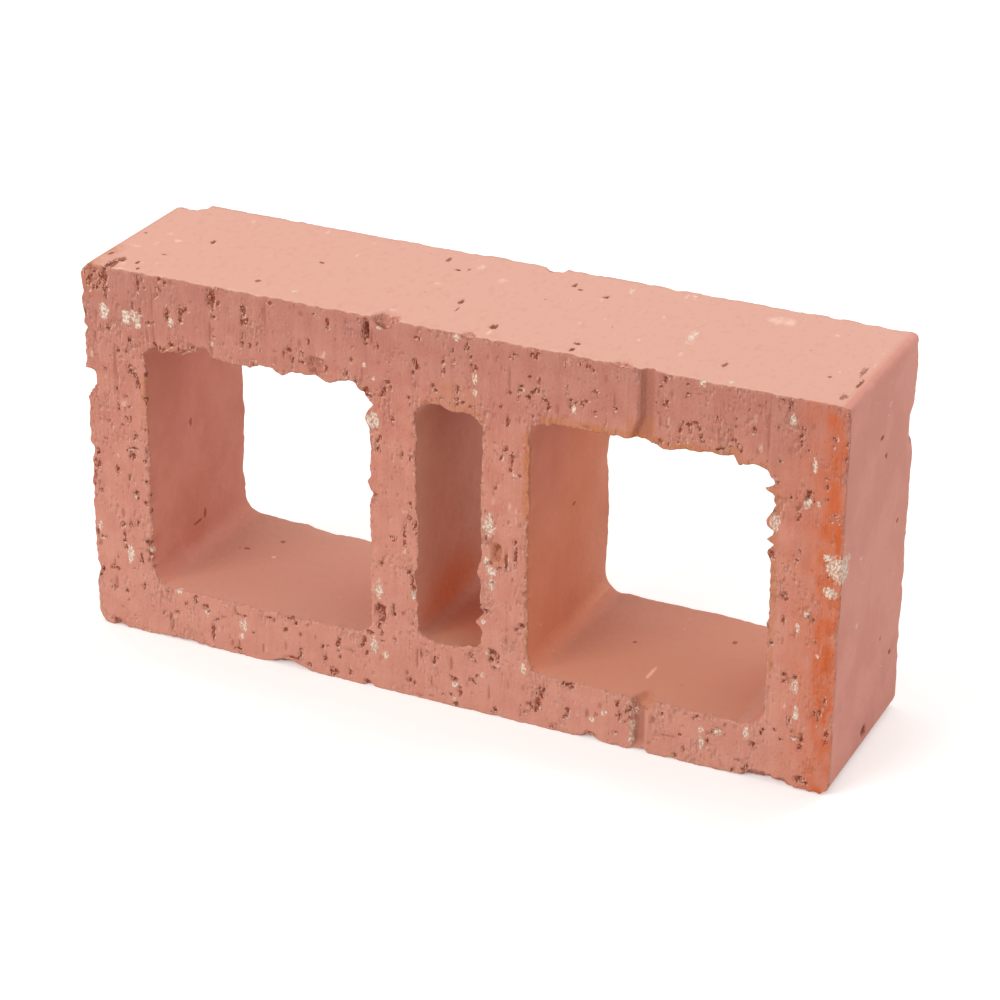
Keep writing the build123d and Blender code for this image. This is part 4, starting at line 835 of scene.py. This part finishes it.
for anchor, axis, over_cut, over_other, rows in flake_rows.values():
    over_cut = np.array(over_cut, float)
    over_other = np.array(over_other, float)
    for place, reach_cut, reach_other, length, *stop in rows:
        start = np.array(anchor, float)
        start[axis] = place
        chord = math.hypot(reach_cut, reach_other)
        outset = chord * length ** 2 / (8 * reach_cut * reach_other)
        outwards = -(over_cut * reach_other + over_other * reach_cut) / chord
        ball = start + (over_cut * reach_cut + over_other * reach_other) / 2 + outwards * outset
        radius = math.hypot(outset, chord / 2)
        radius = radius + flake_noise * min(reach_cut, reach_other)
        from_ball = np.stack([x, y, z], 1) - ball
        along = from_ball @ -outwards
        short = radius ** 2 - (from_ball ** 2).sum(1)
        push = np.where(short > 0, -along + np.sqrt(np.maximum(along ** 2 + short, 0)), 0)
        if stop:
            past = (np.stack([x, y, z], 1)[:, axis] - stop[0]) * np.sign(place - stop[0])
            push = push * np.clip(past / short_break + 0.5, 0, 1)
        x, y, z = (np.stack([x, y, z], 1) - outwards * push[:, None]).T
        flake_depth = np.maximum(flake_depth, push)

# Pits of the skins, pressed in along the way out of the clay
skin_marks = top_marks(top_pits) + end_marks(end_pits)
skin_inside, skin_mark = near_marks(skin_marks, seed=6)
sinks = np.array([row[-1] for row in top_pits + end_pits])
pressed = sinks[skin_mark] * np.clip(1.5 * skin_inside, 0, 1) * on_skin
x = x - out_x * pressed
z = z - out_z * pressed

# The scuffs of the upper skin, and the pale band along its front arris: in part a lip that the wire
# smeared, in part a painted highlight on that edge
lip_reach = 1.8
lip_share = 0.9
scuff_inside, _ = near_marks(top_marks(top_scuffs), 0.4, 8)
scuff_and_edge_highlight = np.clip(1.6 * scuff_inside, 0, 1) * on_skin
smeared_lip_and_highlight = np.exp(-behind / lip_reach) * np.clip(out_z, 0, 1) * on_skin * ~in_cell
scuff_and_edge_highlight = np.maximum(scuff_and_edge_highlight, lip_share * smeared_lip_and_highlight)

# The notch that the pebble tore in the front arris of the right cell's floor, a cone along Y
notch_place = 76.0
notch_radius = 4.0
notch_depth = 9.5
notch_left = notch_radius * (1 - behind / notch_depth) * (1 + 0.2 * noise((2.0, 2.0, 2.0), 53))
notch = np.sqrt(np.maximum(notch_left ** 2 - (x - notch_place) ** 2, 0)) * (behind < notch_depth)
notch = np.clip(notch - np.abs(z - cell_floor), 0, None) * (np.abs(foot_z - cell_floor) < 1) * in_cell
z = z - notch

# The relief never stands out of the clay column's own box
x = np.clip(x, left, right)
y = np.clip(y, front, back)
z = np.clip(z, bottom, top)

# What the clay shows at each point, for its material: how far inside a hole, a grit patch or a flake.
# A hole shallower than 0.9 shows smaller than it is.
dark_from = 0.9
grit_inside, _ = near_marks(front_marks(front_grit) + top_marks(top_grit) + end_marks(end_grit), 0.3, 7)
front_depths = np.array([hole[-1] for hole in front_holes])[front_inside[1]]
shown = front_inside[0] - 0.7 * np.clip(dark_from - front_depths, 0, 0.6) * (front_inside[0] > 0)
# The stones' gaps join the holes, so they are painted dark as shade, most above and to the left
front_holes_inside = np.maximum(shown, 1.75 * stone_gap - 1)
holes_inside = np.where(on_skin & (behind > 2) & (ahead > 2), skin_inside,
                        np.where(ahead < 3, back_inside[0], front_holes_inside))


def band(value, start, end, soft):
    """1 between start and end, falling smoothly to 0 over the soft width outside them."""
    t = np.clip((np.minimum(value - start, end - value)) / soft + 1, 0, 1)
    return t * t * (3 - 2 * t)


# Orange flash along the right arris, and tan lips where the drag left the cells' mouths thin: the span
# in x, the span in z, softness and strength
flash_bands = [
    (138.6, 143.0, 98, 140, 3.0, 0.66), (139.0, 144.6, -2, 98, 4.4, 0.66), (137, 146, -9, 150, 17, 0.36),
]
tan_bands = [
    (30.2, 31.6, 80, 112, 1.4, 0.9), (30.6, 31.7, 20, 80, 1.0, 0.4), (36, 100, 118.5, 120.4, 1.6, 0.85),
    (100, 107, 120, 122.4, 1.6, 0.8), (107, 119, 114, 119.4, 1.8, 0.6), (119.6, 121.6, 44, 113, 1.8, 0.6),
    (-116, -102, 115.4, 119.4, 1.4, 1.0), (-120.8, -118.8, 97, 104.5, 1.2, 1.0),
    (18, 21.2, 62, 68.6, 0.8, 0.9), (-9, 14.5, 115.2, 117, 1.6, 0.35), (-145, -138, 134, 146, 4, 0.5),
    (-4, 10, 118, 124, 4, 0.3), (68, 77, 118, 126, 2.0, 0.5), (-121.4, -119.4, 84, 97, 1.4, 0.5),
    (30.2, 31.8, 36, 40, 1.2, 0.5),
]
blotches = np.clip(0.9 + 0.55 * noise((3.0, 9, 5.0), 61), 0.3, 1.15)


band_reach = 1.8


def banded(rows):
    """How strongly the bands cover each point. What they leave bare is the product over the bands of
    1 - strength * band in x * band in z."""
    left_bare = np.ones(len(x))
    for x0, x1, z0, z1, soft, strength in rows:
        covered = band(drawn[:, 0], x0, x1, soft) * band(drawn[:, 2], z0, z1, soft)
        left_bare = left_bare * (1 - strength * covered)
    return (1 - left_bare) * blotches * np.clip(1 - behind / band_reach, 0, 1)


# The flash stops short of the end's own skin, and the upper skin's left front corner is tan as well
flash = banded(flash_bands) * np.clip(right + 0.2 - drawn[:, 0], 0, 1)
corner_tan = 0.55 * band(drawn[:, 0], -145, -139, 3.0) * band(behind, 1, 18, 5) * (out_z > 0.5) * blotches
tan = np.maximum(banded(tan_bands), np.where(in_cell, 0, corner_tan))
tan = np.maximum(tan, 0.35 * np.clip(notch, 0, 1))
tears = np.clip(flake_depth / 0.6 + 0.6 * pocket_floor * on_front, 0, 1)

# The cut face's colour runs on over the arris, for less than a millimetre
cut_reach = 0.7
cut = np.clip(1.4 - np.minimum(behind, ahead) / cut_reach, 0, 1)
lip = np.exp(-inset / 1.3) * np.where(in_cell, 1, 0.6) * np.clip(1 - behind / 1.5, 0, 1)
groove_shade = np.clip(groove / groove_depth, 0, 1) * on_front

# A pale bloom of dust lies on what faces up, with painted light from above in it that stops sharply where
# the surface turns down; on the slot's floor and its bends the same mask paints them darker, as painted
# shade.
# The cut face is paler towards the bottom and duller towards the top.
level_from = 0.88
dust_and_painted_light = np.clip((out_z - level_from) / (1 - level_from), 0, 1)
pale = 0.45 * np.clip(1 - z / high[2], 0, 1)

# The hue of the clay, with painted light: browner (-1) in the slot, with an orange glow low in it (-2)
# that is painted light, a pool of bounced light, more orange (1) in the right cell, and paler again (above
# 1) far back on its side walls, which is painted light from the back opening. Across the front it runs from
#    browner at the left to more orange at the right.
glow_depth = 30.0
glow_height = 31.0
glow_reach = (24.0, 14.0)
corner_width = 9.0
far_from = 20.0
far_run = 45.0
far_strength = 1.1
face_hue = np.where(on_front, np.clip((x + 20) / 165, -0.8, 1) * np.clip(z / 100, 0.4, 1), 0)
in_slot = in_cell * (np.abs(foot_x - slot_offset) < (slot_width + web) / 2)
in_right = in_cell * (foot_x > slot_right + web / 2)
# In the slot the same mask takes in the bends of the floor, where it paints shade
dust_and_painted_light = np.where(in_slot, np.clip((out_z - 0.2) / 0.5, 0, 1), dust_and_painted_light)
# The orange glow low in the slot is painted light
from_painted_glow = ((behind - glow_depth) / glow_reach[0]) ** 2 + ((foot_z - glow_height) / glow_reach[1]) ** 2
hue_and_painted_light = in_slot * -(1 + np.exp(-from_painted_glow))
right_hue = np.clip(1.2 - foot_z / 140, 0.2, 1) * np.clip(1.15 - behind / 90, 0.3, 1)
hue_and_painted_light = hue_and_painted_light + in_right * right_hue * (foot_x < right_cell[1] - corner_width)
# Painted light from the back opening: paler far back on the right cell's side walls
painted_back_light = in_right * (np.abs(out_x) > 0.7) * np.clip((behind - far_from) / far_run, 0, 1)
hue_and_painted_light = hue_and_painted_light + far_strength * painted_back_light
hue_and_painted_light = np.where(on_front | on_back, face_hue, hue_and_painted_light)

body_mesh = bpy.data.meshes.new("brick_body")
body_mesh.from_pydata((np.stack([x, y, z], 1) * mm).tolist(), [], squares.tolist() + triangles.tolist())
for name, values in (("hole", np.clip(holes_inside, -1, 1)), ("grit", np.clip(grit_inside, -1, 1)),
                     ("flash", flash), ("flake", tears), ("cut", cut),
                     ("inner", in_cell * (1.0 - on_front) * (1.0 - on_back)), ("dust_and_painted_light", dust_and_painted_light),
                     ("pale", pale), ("lip", lip), ("groove", groove_shade), ("scuff_and_edge_highlight", scuff_and_edge_highlight),
                     ("hue_and_painted_light", hue_and_painted_light), ("rim_highlight", rim_highlight), ("line", drawn_line), ("tan", tan)):
    body_mesh.attributes.new(name, "FLOAT", "POINT").data.foreach_set("value", values.astype(np.float32))
body_mesh.polygons.foreach_set("use_smooth", np.ones(len(body_mesh.polygons), bool))
body_mesh.update()
brick_body = bpy.data.objects.new("brick_body", body_mesh)
scene.collection.objects.link(brick_body)


# Fired clay: a common red-burning clay, burnt to salmon in the kiln. The torn faces are matt and
# grainy, with upright drag lines and holes painted dark as shade, and the die skins are paler, smooth and
# dusty, with painted light on what faces up.
def linear(code):
    """An sRGB hex colour as linear red, green, blue and alpha."""
    shares = [int(code[i:i + 2], 16) / 255 for i in (1, 3, 5)]
    return [s / 12.92 if s <= 0.04045 else ((s + 0.055) / 1.055) ** 2.4 for s in shares] + [1.0]


def add(kind, inputs=(), **settings):
    """Adds a node to the material under way. Settings are its properties; inputs pairs a socket's
    name or number with a value, or with another node's output that it is linked to."""
    made = tree.nodes.new(kind)
    for name, value in settings.items():
        setattr(made, name, value)
    for socket, value in inputs:
        if isinstance(value, bpy.types.NodeSocket):
            tree.links.new(value, made.inputs[socket])
        else:
            made.inputs[socket].default_value = value
    return made


fired_clay = bpy.data.materials.new("fired_clay")
fired_clay.use_nodes = True
tree = fired_clay.node_tree
tree.nodes.clear()
place = add("ShaderNodeTexCoord").outputs["Object"]
surface = {name: add("ShaderNodeAttribute", attribute_name=name).outputs["Fac"]
           for name in ("hole", "grit", "flash", "flake", "cut", "inner", "dust_and_painted_light", "pale", "lip", "groove",
                        "scuff_and_edge_highlight", "hue_and_painted_light", "rim_highlight", "line", "tan")}


def lumps(size, stretch=(1, 1, 1), detail=2.0, rough=0.5, moved=(0, 0, 0)):
    """Noise in lumps of this many millimetres, stretched along each axis and moved by millimetres."""
    scale = [1 / length for length in stretch]
    shift = [-mm * way / length for way, length in zip(moved, stretch)]
    turned = add("ShaderNodeMapping", [(0, place), (1, shift), (3, scale)]).outputs[0]
    return add("ShaderNodeTexNoise", [("Vector", turned), ("Scale", 1 / (size * mm)),
                                      ("Detail", detail), ("Roughness", rough)]).outputs["Fac"]


def step(value, start, end, low=0.0, high=1.0):
    """Carries a value from start to end onto low to high, smoothly."""
    return add("ShaderNodeMapRange", [(0, value), (1, start), (2, end), (3, low), (4, high)],
               interpolation_type="SMOOTHSTEP").outputs[0]


def sum_of(first, second, operation="ADD"):
    """Two values added, or put together by another operation."""
    return add("ShaderNodeMath", [(0, first), (1, second)], operation=operation).outputs[0]


def mix(share, first, second, blend="MIX"):
    """One colour laid over another by a share."""
    colours = [linear(c) if isinstance(c, str) else c for c in (first, second)]
    return add("ShaderNodeMix", [(0, share), (6, colours[0]), (7, colours[1])],
               data_type="RGBA", blend_type=blend).outputs[2]


def spots(rows):
    """How far inside the nearest oval spot a point is, from rows of (x, y, z, width, depth, height)."""
    inside = -1.0
    for row in rows:
        off = add("ShaderNodeVectorMath", [(0, place), (1, [mm * middle for middle in row[:3]])],
                  operation="SUBTRACT").outputs[0]
        off = add("ShaderNodeVectorMath", [(0, off), (1, [mm * size / 2 for size in row[3:]])],
                  operation="DIVIDE").outputs[0]
        reach = add("ShaderNodeVectorMath", [(0, off)], operation="LENGTH").outputs["Value"]
        inside = sum_of(inside, sum_of(1.0, reach, "SUBTRACT"), "MAXIMUM")
    return inside


# Dark scars and pale scrapes on the skins inside the cells: x, y, z, width, depth, height
cell_scars = [
    (-120, -5, 75, 3, 2.4, 3.6), (89.6, 17.6, 21, 2.2, 3.2, 3), (19.6, -35, 67, 2.6, 8, 3.6),
    (31.7, 4, 70, 3, 3, 2), (57.2, 2.3, 21, 1.6, 2.4, 3), (-120, 2.8, 34.3, 3, 2.6, 5),
    (-120, -2.5, 32.6, 3, 8, 1.5), (-104, 6, 21, 3, 2, 3), (-94.5, 16.7, 21, 2.6, 2.2, 3),
]
cell_scrapes = [
    (71.2, -15.8, 21, 1.8, 12, 3), (-91.5, 4, 21, 2, 2.4, 3),
]

# The torn faces: patches, upright drag lines, and crumbs plucked out and painted dark as their shade, each
# with a pale copy just below and to the right as its painted highlight and in part a smeared crumb, more of
# them where a lip or a flake wore the clay and fewer in the groove. The real grain is 0.2 to 0.5 mm, too
# fine to show, so it is drawn 0.7 to 1.1 mm wide.
torn_clay = mix(step(lumps(9, detail=3), 0.35, 0.65), "#C17562", "#CA8470")
torn_clay = mix(step(surface["hue_and_painted_light"], 0, -1, 0, 0.35), torn_clay, "#AE6F60")
torn_clay = mix(step(surface["hue_and_painted_light"], 0, 1, 0, 0.15), torn_clay, "#CA7B55")
torn_clay = mix(step(lumps(3.0, (1, 1, 18), 2, 0.5), 0.50, 0.68, 0, 0.30), torn_clay, "#B06D5B")
torn_clay = mix(step(lumps(1.1, (1, 1, 9), 3, 0.6), 0.55, 0.75, 0, 0.22), torn_clay, "#A75D49")
torn_clay = mix(step(lumps(1.5, (1, 1, 10), 2, 0.5), 0.58, 0.74, 0, 0.22), torn_clay, "#DCA08B")
worn = sum_of(surface["lip"], surface["flake"], "MAXIMUM")
torn_clay = mix(sum_of(surface["lip"], 0.35, "MULTIPLY"), torn_clay, "#C58064")
crumbs = lumps(0.7, (1, 1, 1.2), 2, 0.6)
gathered = sum_of(lumps(8, (1, 1, 1.6), 2, 0.6), sum_of(worn, 0.2, "MULTIPLY"))
gathered = sum_of(gathered, sum_of(surface["groove"], 0.5, "MULTIPLY"), "SUBTRACT")
# Painted shade and highlight: dark plucked crumbs, and a pale copy of them moved down and right
plucked_crumb_shade = sum_of(lumps(1.1, (1, 1, 2.0), 3, 0.7), sum_of(gathered, 0.6, "MULTIPLY"))
smeared_crumb_highlight = sum_of(lumps(1.1, (1, 1, 2.0), 3, 0.7, (0.5, 0, -0.9)), sum_of(gathered, 0.6, "MULTIPLY"))
torn_clay = mix(step(smeared_crumb_highlight, 0.91, 1.02, 0, 0.50), torn_clay, "#E3B09C")
torn_clay = mix(step(plucked_crumb_shade, 0.90, 1.02, 0, 0.60), torn_clay, "#98523F")
torn_clay = mix(step(surface["pale"], 0.14, 0.0, 0, 0.38), torn_clay, "#A8736A")
nicks = sum_of(lumps(1.0, (1, 1, 2.2), 1.0, 0.5), sum_of(crumbs, 0.25, "MULTIPLY"))
nicks = sum_of(nicks, sum_of(worn, 0.16, "MULTIPLY"))
nicks = sum_of(nicks, sum_of(surface["groove"], 0.3, "MULTIPLY"), "SUBTRACT")
torn_clay = mix(step(nicks, 0.92, 0.97, 0, 0.65), torn_clay, "#8C4532")
pale_crumbs = sum_of(crumbs, sum_of(worn, 0.16, "MULTIPLY"))
torn_clay = mix(step(pale_crumbs, 0.72, 0.78, 0, 0.65), torn_clay, "#E8BBA4")

# The skins outside, those inside the cells by their hue and painted light, the dust and painted light on
# what faces up on both, and their specks and scuffs
die_skin = mix(step(lumps(22, detail=3), 0.35, 0.65), "#D28876", "#DA9180")
inner_skin = mix(step(lumps(16, detail=3), 0.35, 0.65), "#CB7F68", "#D28974")
inner_skin = mix(step(surface["hue_and_painted_light"], 0, -1, 0, 0.28), inner_skin, "#DCB094")
# Painted light: the orange glow low in the slot
inner_skin = mix(step(surface["hue_and_painted_light"], -1, -2), inner_skin, "#D77F56")
inner_skin = mix(step(surface["hue_and_painted_light"], 0, 1, 0, 0.50), inner_skin, "#DD864F")
# Painted light from the back opening, far back on the right cell's side walls
inner_skin = mix(step(surface["hue_and_painted_light"], 1, 2, 0, 0.60), inner_skin, "#F2B49C")
# Dust and painted light on what faces up inside; in the slot it is darker, as painted shade
inner_dust_and_light = mix(step(surface["hue_and_painted_light"], 0, -1), "#CC907A", "#C2856B")
inner_dust_and_light = mix(step(surface["hue_and_painted_light"], -1, -2, 0, 0.9), inner_dust_and_light, "#B9603C")
inner_dust_and_light = mix(step(surface["hue_and_painted_light"], 0, 1, 0, 0.50), inner_dust_and_light, "#C98260")
die_skin = mix(surface["inner"], die_skin, inner_skin)
dusty_and_lit_skin = mix(surface["inner"], "#DBA28F", inner_dust_and_light)
die_skin = mix(surface["dust_and_painted_light"], die_skin, dusty_and_lit_skin)
die_skin = mix(step(lumps(2.6, (1, 1.6, 1), 3, 0.6), 0.5, 0.75, 0, 0.22), die_skin, "#C47D6A")
die_skin = mix(step(lumps(1.2, (1, 1.3, 1), 2, 0.5), 0.74, 0.79, 0, 0.6), die_skin, "#A05A47")
die_skin = mix(step(lumps(1.6, (1, 2.2, 1), 2, 0.5), 0.74, 0.78, 0, 0.6), die_skin, "#ECC8B5")
# The scuffs, with the painted highlight along the upper front arris
scuffed = sum_of(surface["scuff_and_edge_highlight"], lumps(2.0, (1, 2, 1), 3), "MULTIPLY")
die_skin = mix(step(scuffed, 0.1, 0.6, 0, 0.6), die_skin, "#F7C9B9")

# Both together, with what the surface carries laid over them: the groove with its painted shade, flash, tan
# lips, drawn lines, flakes, holes painted dark as shade with their broken surrounds and painted highlights
# on their rims, grit, and pits and scars painted dark as shade
clay = mix(surface["cut"], die_skin, torn_clay)
clay = mix(sum_of(surface["pale"], surface["cut"], "MULTIPLY"), clay, "#DDA08B")
# Painted shade: the groove is laid darker the deeper it is
clay = mix(sum_of(surface["groove"], 0.65, "MULTIPLY"), clay, "#A86955")
streaks = step(lumps(2.4, (1, 1, 6)), 0.25, 0.7, 0.7, 1)
clay = mix(sum_of(surface["flash"], streaks, "MULTIPLY"), clay, "#CA5A1E")
patchy = step(lumps(1.4, detail=3), 0.3, 0.55, 0.3, 0.8)
clay = mix(sum_of(surface["tan"], patchy, "MULTIPLY"), clay, "#BE7444")
clay = mix(step(surface["line"], 0, 1, 0, 0.7), clay, "#A05A48")
broken_smear = step(lumps(1.0, (1, 1, 2), 3, 0.6), 0.40, 0.60, 0.2, 0.8)
clay = mix(sum_of(step(surface["line"], 0, -1), broken_smear, "MULTIPLY"), clay, "#E9BBA8")
flake_clay = mix(step(lumps(1.5, detail=3, rough=0.7), 0.50, 0.60), "#B8705C", "#8A4634")
flake_clay = mix(step(lumps(1.2, detail=3, rough=0.7), 0.55, 0.64), flake_clay, "#DFA793")
clay = mix(step(sum_of(surface["flake"], lumps(1.0), "MULTIPLY"), 0.1, 0.5, 0, 0.8), clay, flake_clay)
broken = sum_of(step(surface["hole"], -0.6, 0.1), surface["cut"], "MULTIPLY")
clay = mix(sum_of(broken, 0.5, "MULTIPLY"), clay, "#B4705C")
ragged = sum_of(sum_of(lumps(0.85, (1, 1, 1.7), 2, 0.75), 0.5, "SUBTRACT"), 4.0, "MULTIPLY")
hole_ragged = sum_of(ragged, step(surface["cut"], 0, 1, 0.35, 1), "MULTIPLY")
in_hole = step(sum_of(surface["hole"], hole_ragged), 0.28, 0.62)
in_hole = sum_of(in_hole, step(surface["hole"], -0.8, -0.3), "MULTIPLY")
# The holes are painted dark red-brown over the torn grain: painted shade in the pits
shaded_hole_clay = mix(step(lumps(0.9, (1, 1, 1.6), 2, 0.6), 0.40, 0.58), "#88351F", "#AB583E")
shaded_hole_clay = mix(surface["cut"], "#98523D", shaded_hole_clay)
in_hole = sum_of(in_hole, step(surface["cut"], 0, 1, 0.8, 1), "MULTIPLY")
clay = mix(sum_of(in_hole, 0.9, "MULTIPLY"), clay, shaded_hole_clay)
# Painted highlight: pale crumbs just below and to the right of the holes, a copy of their outline moved
# down and right, in part heaped crumbs
heaped_crumb_highlight = step(lumps(0.85, (1, 1, 1.7), 2, 0.75, (0.45, 0, -0.7)), 0.54, 0.62, 0, 0.7)
heaped_crumb_highlight = sum_of(sum_of(heaped_crumb_highlight, broken, "MULTIPLY"), sum_of(1.0, in_hole, "SUBTRACT"), "MULTIPLY")
clay = mix(heaped_crumb_highlight, clay, "#E6B39F")
# Painted highlight: the lower right rims of the marks are laid pale
lit = step(sum_of(surface["rim_highlight"], lumps(1.0, (1, 1, 1.5), 3, 0.6), "MULTIPLY"), 0.16, 0.34, 0, 0.85)
clay = mix(lit, clay, "#E7B8A5")
grains = lumps(0.75, (1, 1, 1.3), 2, 0.6)
in_grit = step(sum_of(surface["grit"], sum_of(ragged, 0.45, "MULTIPLY")), -0.10, 0.26)
in_grit = sum_of(in_grit, step(grains, 0.36, 0.48, 0.42, 1), "MULTIPLY")
in_grit = sum_of(in_grit, sum_of(1.0, sum_of(in_hole, 0.8, "MULTIPLY"), "SUBTRACT"), "MULTIPLY")
grit = mix(step(grains, 0.44, 0.60), "#C9A38C", "#EADCCB")
clay = mix(sum_of(in_grit, 0.92, "MULTIPLY"), clay, grit)
# The deeper pits of the skins and the scars in the cells are painted dark: painted shade in the pits
dark_pit_sink = 0.55
dark_pits = [row for row in top_pits if row[-1] > dark_pit_sink]
pit_shade = spots(top_marks(dark_pits) + end_marks(end_pits) + cell_scars)
pit_shade = step(sum_of(pit_shade, sum_of(ragged, 0.35, "MULTIPLY")), 0.0, 0.40, 0, 0.85)
clay = mix(pit_shade, clay, "#93492F")
scraped = step(sum_of(spots(cell_scrapes), sum_of(ragged, 0.3, "MULTIPLY")), 0.0, 0.5, 0, 0.7)
clay = mix(scraped, clay, "#F0BFA6")

# The bump of the finest grain, in millimetres
torn_height = sum_of(step(lumps(1.1, (1, 1, 9), 3, 0.6), 0.3, 0.7, 0, 0.10),
                     step(crumbs, 0.3, 0.7, 0, 0.12))
torn_height = sum_of(torn_height, step(nicks, 0.90, 0.97, 0, -0.2))
torn_height = sum_of(torn_height, step(plucked_crumb_shade, 0.90, 1.02, 0, -0.14))
torn_height = sum_of(torn_height, sum_of(lit, 0.25, "MULTIPLY"))
skin_height = sum_of(step(lumps(1.2, (1, 1.3, 1), 2, 0.5), 0.74, 0.79, 0, -0.12),
                     step(lumps(3.0, (1, 1.5, 1), 3, 0.5), 0.3, 0.7, 0, 0.07))
height = add("ShaderNodeMix", [(0, surface["cut"]), (2, skin_height), (3, torn_height)]).outputs[0]
height = sum_of(height, sum_of(in_hole, -0.4, "MULTIPLY"))
bump = add("ShaderNodeBump", [("Height", height), ("Distance", mm), ("Strength", 1.0)]).outputs[0]
roughness = step(surface["cut"], 0, 1, 0.72, 0.92)
sheen = step(in_hole, 0, 1, 0.5, 0.1)
shader = add("ShaderNodeBsdfPrincipled", [("Base Color", clay), ("Roughness", roughness), ("IOR", 1.5),
                                          ("Specular IOR Level", sheen), ("Normal", bump)])
add("ShaderNodeOutputMaterial", [(0, shader.outputs[0])])
body_mesh.materials.append(fired_clay)
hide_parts("brick")
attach(brick_body, "root")


# The floor is a plain pale sheet of card, lit softly from above, with a white surround. It glows a
# little to the camera alone, so that it shows nearly white and still keeps the brick's shadow.
floor_half = 4.0
floor_mesh = bpy.data.meshes.new("floor")
floor_mesh.from_pydata([(-floor_half, -floor_half, 0), (floor_half, -floor_half, 0),
                        (floor_half, floor_half, 0), (-floor_half, floor_half, 0)], [], [(0, 1, 2, 3)])
floor = bpy.data.objects.new("floor", floor_mesh)
scene.collection.objects.link(floor)
pale_card = bpy.data.materials.new("pale_card")
pale_card.use_nodes = True
tree = pale_card.node_tree
tree.nodes.clear()
seen = add("ShaderNodeLightPath").outputs["Is Camera Ray"]
card = add("ShaderNodeBsdfPrincipled", [("Base Color", linear("#EDEDEB")), ("Roughness", 0.9),
                                        ("Emission Color", linear("#FFFFFF")),
                                        ("Emission Strength", sum_of(seen, 0.3, "MULTIPLY"))])
add("ShaderNodeOutputMaterial", [(0, card.outputs[0])])
floor_mesh.materials.append(pale_card)

surround = bpy.data.worlds.new("surround")
surround.use_nodes = True
scene.world = surround
tree = surround.node_tree
tree.nodes.clear()
ambient = 0.71
rays = add("ShaderNodeLightPath").outputs
white = sum_of(rays["Is Camera Ray"], rays["Is Transmission Ray"], "MAXIMUM")
glow = add("ShaderNodeMapRange", [(0, white), (3, ambient), (4, 1.0)]).outputs[0]
sky = add("ShaderNodeBackground", [("Strength", glow)])
add("ShaderNodeOutputWorld", [(0, sky.outputs[0])])


# The lamps are large softboxes on stands, turned to the brick: overhead, front left and back
def softbox(name, place, side, power):
    """A square softbox of this side in metres that looks at the middle of the brick."""
    lamp = bpy.data.lights.new(name, "AREA")
    lamp.size = side
    lamp.energy = power
    stand = bpy.data.objects.new(name, lamp)
    stand.location = place
    aim = Vector((0, 0, (low[2] + high[2]) / 2 * mm)) - Vector(place)
    stand.rotation_euler = aim.to_track_quat("-Z", "Y").to_euler()
    scene.collection.objects.link(stand)


softbox("overhead_softbox", (-0.2, 0.1, 1.6), 1.2, 5.0)
softbox("left_softbox", (-0.7, -1.3, 1.0), 1.0, 15.5)
softbox("back_softbox", (0.5, 1.4, 0.8), 1.0, 11.0)
